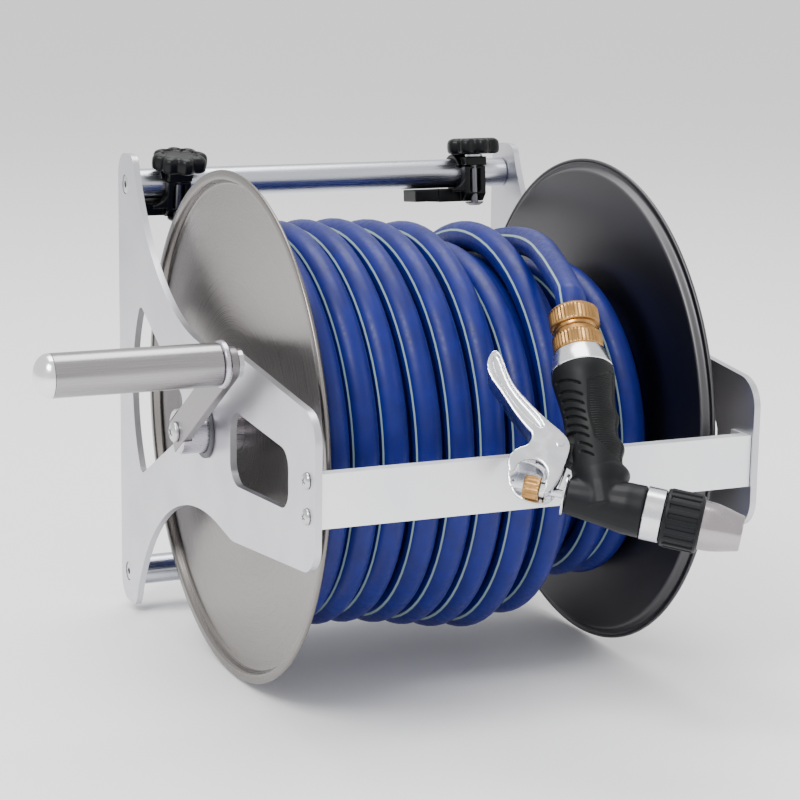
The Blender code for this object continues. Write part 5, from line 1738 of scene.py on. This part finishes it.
@dataclass
class SprayGun:
    """The spray gun: its casting, the grooved sleeve, the rings, the trigger and the brass coupling.

    The grooves are heights along the handle, and the first of them are the long ones. Each bump is its depth, its
    height and its width. The panel is the height and the angle in degrees of its edge, and the spans are angles too.
    """

    frame: SprayFrame
    nodes: dict[str, Object]
    sleeve_start: float = 0.0165
    sleeve_end: float = 0.0785
    grooves: tuple[float, ...] = (0.0682, 0.0619, 0.0569, 0.0519, 0.0473, 0.0423, 0.0378, 0.0323, 0.0273)
    bumps: tuple[tuple[float, float, float], ...] = ((0.0017, 0.0478, 0.0045), (0.0026, 0.0302, 0.0046))
    panel: tuple[tuple[float, float], ...] = ((0.0185, 150.0), (0.0270, 107.0), (0.0340, 88.0), (0.0480, 83.0),
                                              (0.0650, 90.0), (0.0725, 140.0))
    long_grooves: int = 7
    long_span: tuple[float, float] = (16.0, 80.0)
    short_span: tuple[float, float] = (46.0, 84.0)
    groove_depth: float = 0.0012
    groove_half: float = 0.0010
    groove_rise: float = 0.0018
    groove_bow: float = 0.0062
    panel_end: float = 164.0
    panel_depth: float = 0.0005
    rib_pitch: float = 0.0014
    rib_depth: float = 0.00020
    sleeve_bore: float = 0.0093
    trigger_half: float = 0.0083
    trigger_room: float = 0.0089
    nut_radius: float = 0.0137
    ribs: int = 18

    def sleeve_wave(self, along: float, radius: float, angle: float) -> float:
        """Find the sleeve's radius with its finger bumps, its grooves and its ribbed panel.

        Args:
            along: Height along the handle.
            radius: The plain radius.
            angle: The angle from the handle's Z towards its Y.

        Returns:
            The radius there.
        """
        if radius < 0.0115:
            return radius
        turn = math.degrees(-angle % math.tau)
        front = max(0.0, -math.cos(angle)) ** 2
        for height, middle, width in self.bumps:
            radius += height * front * math.exp(-((along - middle) / width) ** 2)
        for index, middle in enumerate(self.grooves):
            first, last = self.long_span if index < self.long_grooves else self.short_span
            mask = ease((turn - first) / 7) * ease((last - turn) / 7)
            bow = self.groove_bow * ((turn - self.long_span[0]) / (self.long_span[1] - self.long_span[0])) ** 2
            off = abs(along - middle - self.groove_rise + bow) / self.groove_half
            radius -= self.groove_depth * mask * max(0.0, 1 - off * off)
        inside = min((turn - self.panel_edge(along)) / 5.0, (self.panel_end - turn) / 5.0)
        if 0.0 < inside < 1.0:
            radius -= self.panel_depth * ease(inside)
        elif inside >= 1.0:
            radius -= self.panel_depth + self.rib_depth * (1 - math.cos(math.tau * along / self.rib_pitch))
        return radius

    def panel_edge(self, along: float) -> float:
        """Find where the ribbed panel begins.

        Args:
            along: Height along the handle.

        Returns:
            The angle in degrees, which is past the panel's end where there is none.
        """
        for (low, first), (high, last) in zip(self.panel, self.panel[1:]):
            if low <= along <= high:
                return first + (last - first) * ease((along - low) / (high - low))
        return 180.0

    def heel_wave(self, along: float, radius: float, angle: float) -> float:
        """The heel's radius with the bump below the little finger."""
        front = max(0.0, -math.cos(angle)) ** 2
        return radius + 0.0034 * front * math.exp(-((along - 0.0140) / 0.0048) ** 2) if radius else 0.0

    def build(self) -> Object:
        """Make the gun.

        Returns:
            The hose's coupling nut.
        """
        gun, handle = self.frame.gun(), self.frame.handle()
        heel = lathe([(0.000, 0.0), *curved([(0.000, 0.0090), (0.0060, 0.0118), (0.0120, 0.0131), (0.0170, 0.0137),
                                             (0.0200, 0.0133)], 6), (0.0200, 0.0)], handle, 64, self.heel_wave)
        neck = lathe([(-0.0200, 0.0), *curved([(-0.0200, 0.0096), (-0.0080, 0.0110), (0.0040, 0.0127),
                                               (0.0120, 0.0136), (0.0190, 0.0139)], 5), (0.0190, 0.0)], gun, 64)
        body = moulded(joined(cad_copy(self.nodes["gun_body"]), heel, neck), 0.0006, 12)
        piece("gun_body", body, ENAMEL, Body.FRAME, 75)
        self.build_sleeve(handle)
        coupling = self.build_coupling(handle)
        self.build_nozzle(gun)
        self.build_trigger(gun)
        return coupling

    def build_sleeve(self, handle: Matrix) -> None:
        """Make the rubber sleeve, cut out for the trigger and its lug.

        Args:
            handle: The handle's place.
        """
        across = crosswise(self.frame.gun())
        length = self.sleeve_end - self.sleeve_start
        swell = curved([(self.sleeve_start + length * t, r) for t, r in
                        ((0.0, 0.0136), (0.06, 0.0137), (0.25, 0.0134), (0.45, 0.0139), (0.62, 0.0144),
                         (0.78, 0.0158), (0.92, 0.0170), (1.0, 0.0166))], 8)
        profile = [(self.sleeve_start, self.sleeve_bore), *fine(swell, 0.00025), (self.sleeve_end, self.sleeve_bore)]
        sleeve = lathe(profile, handle, 240, self.sleeve_wave)
        seat = prism([(-0.050, 0.0), (-0.0237, 0.0), (-0.0237, 0.0325), (-0.050, 0.0325)], -self.trigger_room,
                     self.trigger_room, (), across)
        lug = prism(rounded([(-0.012, 0.0117, 0), (-0.010, 0.0273, 0), (-0.0343, 0.0288, 0.003),
                             (-0.0343, 0.0202, 0.003)], 6), -0.0053, 0.0053, (), across)
        piece("grip_sleeve", carved(sleeve, seat, lug), RUBBER, Body.FRAME, 60)

    def build_coupling(self, handle: Matrix) -> Object:
        """Make the ring above the sleeve and the two brass nuts.

        Args:
            handle: The handle's place.

        Returns:
            The hose's coupling nut.
        """
        low = self.sleeve_end + GAP
        ring = lathe([(low, self.sleeve_bore), (low, 0.0163), (low + 0.0005, 0.0168), (low + 0.0105, 0.0141),
                      (low + 0.0110, 0.0136), (low + 0.0110, self.sleeve_bore)], handle, 128)
        piece("grip_ring", ring, RING, Body.FRAME)
        wide, start = self.nut_radius, low + 0.0113
        swivel = [(start, 0.0075), (start, wide - 0.0006), (start + 0.0006, wide), (start + 0.0088, wide),
                  (start + 0.0094, wide - 0.0008), (start + 0.0098, 0.0119), (start + 0.0125, 0.0113),
                  (start + 0.0125, 0.0075)]
        nut = lathe(fine(swivel, 0.0008), handle, 320, Knurl(start + 0.0009, start + 0.0086, 40, 0.00045))
        piece("hose_swivel_nut", nut, BRASS, Body.SWIVEL, 25)
        base = start + 0.0128
        hose = [(base, 0.0), (base, 0.0110), (base + 0.0006, 0.0117), (base + 0.0017, 0.0119),
                (base + 0.0021, wide - 0.0004), (base + 0.0027, wide), (base + 0.0113, wide),
                (base + 0.0122, wide - 0.0006), (base + 0.0135, wide - 0.0022), (base + 0.0135, 0.0)]
        other = lathe(fine(hose, 0.0008), handle, 320, Knurl(base + 0.0029, base + 0.0110, 40, 0.00045))
        return piece("hose_coupling_nut", other, BRASS, Body.FRAME, 25)

    def build_nozzle(self, gun: Matrix) -> None:
        """Make the barrel's ring, the ribbed turning ring, the tip, and the ring and nut on the valve's stem.

        Args:
            gun: The gun's place.
        """
        ring = lathe([(0.0197, 0.0085), (0.0197, 0.0138), (0.0201, 0.0142), (0.0293, 0.0142), (0.0299, 0.0137),
                      (0.0299, 0.0085)], gun, 128)
        piece("barrel_ring", ring, RING, Body.FRAME)
        low, high = 0.0302, 0.0502
        sleeve = lathe([(low, 0.0134), (low, 0.0146), (low + 0.0008, 0.0152), (low + 0.0022, 0.0153),
                        (low + 0.0026, 0.0148), (high - 0.0026, 0.0148), (high - 0.0022, 0.0153),
                        (high - 0.0010, 0.0152), (high, 0.0142), (high, 0.0134)], Matrix(), 144)
        rib = prism(rounded([(-0.0015, 0.0142, 0), (0.0015, 0.0142, 0), (0.0012, 0.0156, 0.0006),
                             (-0.0012, 0.0156, 0.0006)], 5), low + 0.0018, high - 0.0018)
        whole = joined(sleeve, ring_of("nozzle_ribs", rib, self.ribs, ENAMEL))
        whole.transform(gun)
        softened(piece("nozzle_ring", whole, ENAMEL, Body.SPRAY_RING), 0.0002)
        tip = lathe([(0.0362, 0.0108), (0.0362, 0.0130), *curved([(0.0502, 0.0130), (0.0560, 0.0127),
                     (0.0620, 0.0116), (0.0680, 0.0101), (0.0708, 0.0095)], 8), (0.0714, 0.0091), (0.0714, 0.0076),
                     (0.0706, 0.0072), (0.0610, 0.0090)], gun, 128)
        piece("nozzle_tip", tip, TIP, Body.SPRAY_TIP, 50)
        gland = lathe([(-0.0232, 0.0025), (-0.0232, 0.0106), (-0.0229, 0.0110), (-0.0221, 0.0110), (-0.0218, 0.0106),
                       (-0.0218, 0.0025)], gun, 96)
        piece("gland_ring", gland, CHROME, Body.FRAME)
        nut = lathe(fine([(-0.0446, 0.0025), (-0.0446, 0.0056), (-0.0441, 0.0062), (-0.0363, 0.0062),
                          (-0.0358, 0.0056), (-0.0358, 0.0025)], 0.0008), gun, 192,
                    Knurl(-0.0438, -0.0366, 24, 0.0004))
        piece("adjusting_nut", nut, BRASS, Body.STEM_NUT, 25)

    def build_trigger(self, gun: Matrix) -> None:
        """Make the cast lever with its channel, its pocket and one fluted cheek.

        Args:
            gun: The gun's place.
        """
        lever = softer([(-0.0785, 0.0712), (-0.0735, 0.0700), (-0.0665, 0.0575), (-0.0592, 0.0495),
                        (-0.0425, 0.0378), (-0.0318, 0.0322), (-0.0246, 0.0262), (-0.0254, 0.0142),
                        (-0.0268, 0.0040), (-0.0300, -0.0052), (-0.0400, -0.0062), (-0.0490, -0.0040),
                        (-0.0545, 0.0040), (-0.0560, 0.0110), (-0.0525, 0.0170), (-0.0466, 0.0202),
                        (-0.0462, 0.0270), (-0.0506, 0.0296), (-0.0591, 0.0369), (-0.0680, 0.0466),
                        (-0.0763, 0.0540), (-0.0804, 0.0620)], 3)
        across = crosswise(gun)
        channel = [(-0.0640, 0.0590), (-0.0560, 0.0520), (-0.0400, 0.0400), (-0.0200, 0.0300), (-0.0180, -0.0120),
                   (-0.0290, -0.0120), (-0.0290, 0.0060), (-0.0450, 0.0185), (-0.0452, 0.0290), (-0.0570, 0.0400)]
        pocket = [(-0.0800, -0.0200), (-0.0328, -0.0200), (-0.0328, 0.0118), (-0.0430, 0.0176), (-0.0600, 0.0160)]
        window = lathe([(0.0043, 0.0), (0.0043, 0.0086), (0.0133, 0.0086), (0.0133, 0.0)],
                       gun @ Matrix.Translation((-0.0420, 0, 0.0040)) @ crosswise(Matrix()), 64)
        slot = prism([(-0.06, -0.0045), (0.0, -0.0045), (0.0, 0.0045), (-0.06, 0.0045)], -0.0030, 0.0030, (), across)
        half = self.trigger_half
        flute = softer([(-0.0782, 0.0690), (-0.0744, 0.0686), (-0.0668, 0.0554), (-0.0594, 0.0474),
                        (-0.0455, 0.0372), (-0.0405, 0.0310), (-0.0470, 0.0325), (-0.0575, 0.0398),
                        (-0.0668, 0.0490), (-0.0752, 0.0586)], 2)
        mouth = softer([(-0.0505, 0.0060), (-0.0345, 0.0070), (-0.0320, -0.0090), (-0.0640, -0.0090)], 2)
        fluted = carved(prism(lever, -half, half, (), across), prism(flute, half - 0.0022, half + 0.002, (), across))
        shape = carved(fluted, prism(softer(channel, 2), -0.0053, 0.0053, (), across),
                       prism(softer(pocket, 2), -(half - 0.0014), half - 0.0014, (), across), window, slot,
                       prism(mouth, 0.0043, half + 0.002, (), across))
        piece("trigger", moulded(shape, 0.0005, 9), CHROME, Body.TRIGGER, 75)


@dataclass
class CarriedNodes:
    """Materials for the CAD nodes that stay as they are."""

    nodes: dict[str, Object]

    def dress(self, finish: Finish, *names: str) -> None:
        """Give CAD nodes a finish.

        Args:
            finish: The finish.
            names: The nodes.
        """
        for name in names:
            obj = self.nodes[name]
            obj.data.materials.clear()
            obj.data.materials.append(finish.material())
            LOG.info("%s keeps its CAD shape in %s", name, finish.name)


def main() -> None:
    """Build the studio and dress the reel."""
    logging.basicConfig(level=logging.INFO, format="%(message)s")
    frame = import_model()
    Camera().build()
    Studio().build()
    nodes = frame["nodes"]
    for side in Side:
        SidePlate(side).build()
        Disc(side).build()
        Bushing(side).build()
        PipeClamp(side, nodes).build()
    SpacerTube("top", 0.0).build()
    SpacerTube("bottom", -TUBE_SPACING).build()
    FrontBar(nodes).build()
    Crank().build()
    spray = SprayFrame()
    wound = WoundHose()
    wound.build()
    coupling = SprayGun(spray, nodes).build()
    FreeHose().build(wound, spray, coupling)
    carried = CarriedNodes(nodes)
    carried.dress(DISC, "drum_barrel")
    carried.dress(ACETAL, "left_barrel_plug", "right_barrel_plug")
    carried.dress(SCREW, "grip_spindle", "left_washer", "right_washer")
    # The clamps' pins and bolts take the darkened steel: partly dull metal, partly painted shade.
    carried.dress(BOLT, "left_clamp_pin", "right_clamp_pin", "left_clamp_bolt", "right_clamp_bolt")
    carried.dress(BRASS, "inlet_elbow", "inlet_adapter")
    carried.dress(CHROME, "trigger_pin", "valve_stem")


if __name__ == "__main__":
    main()
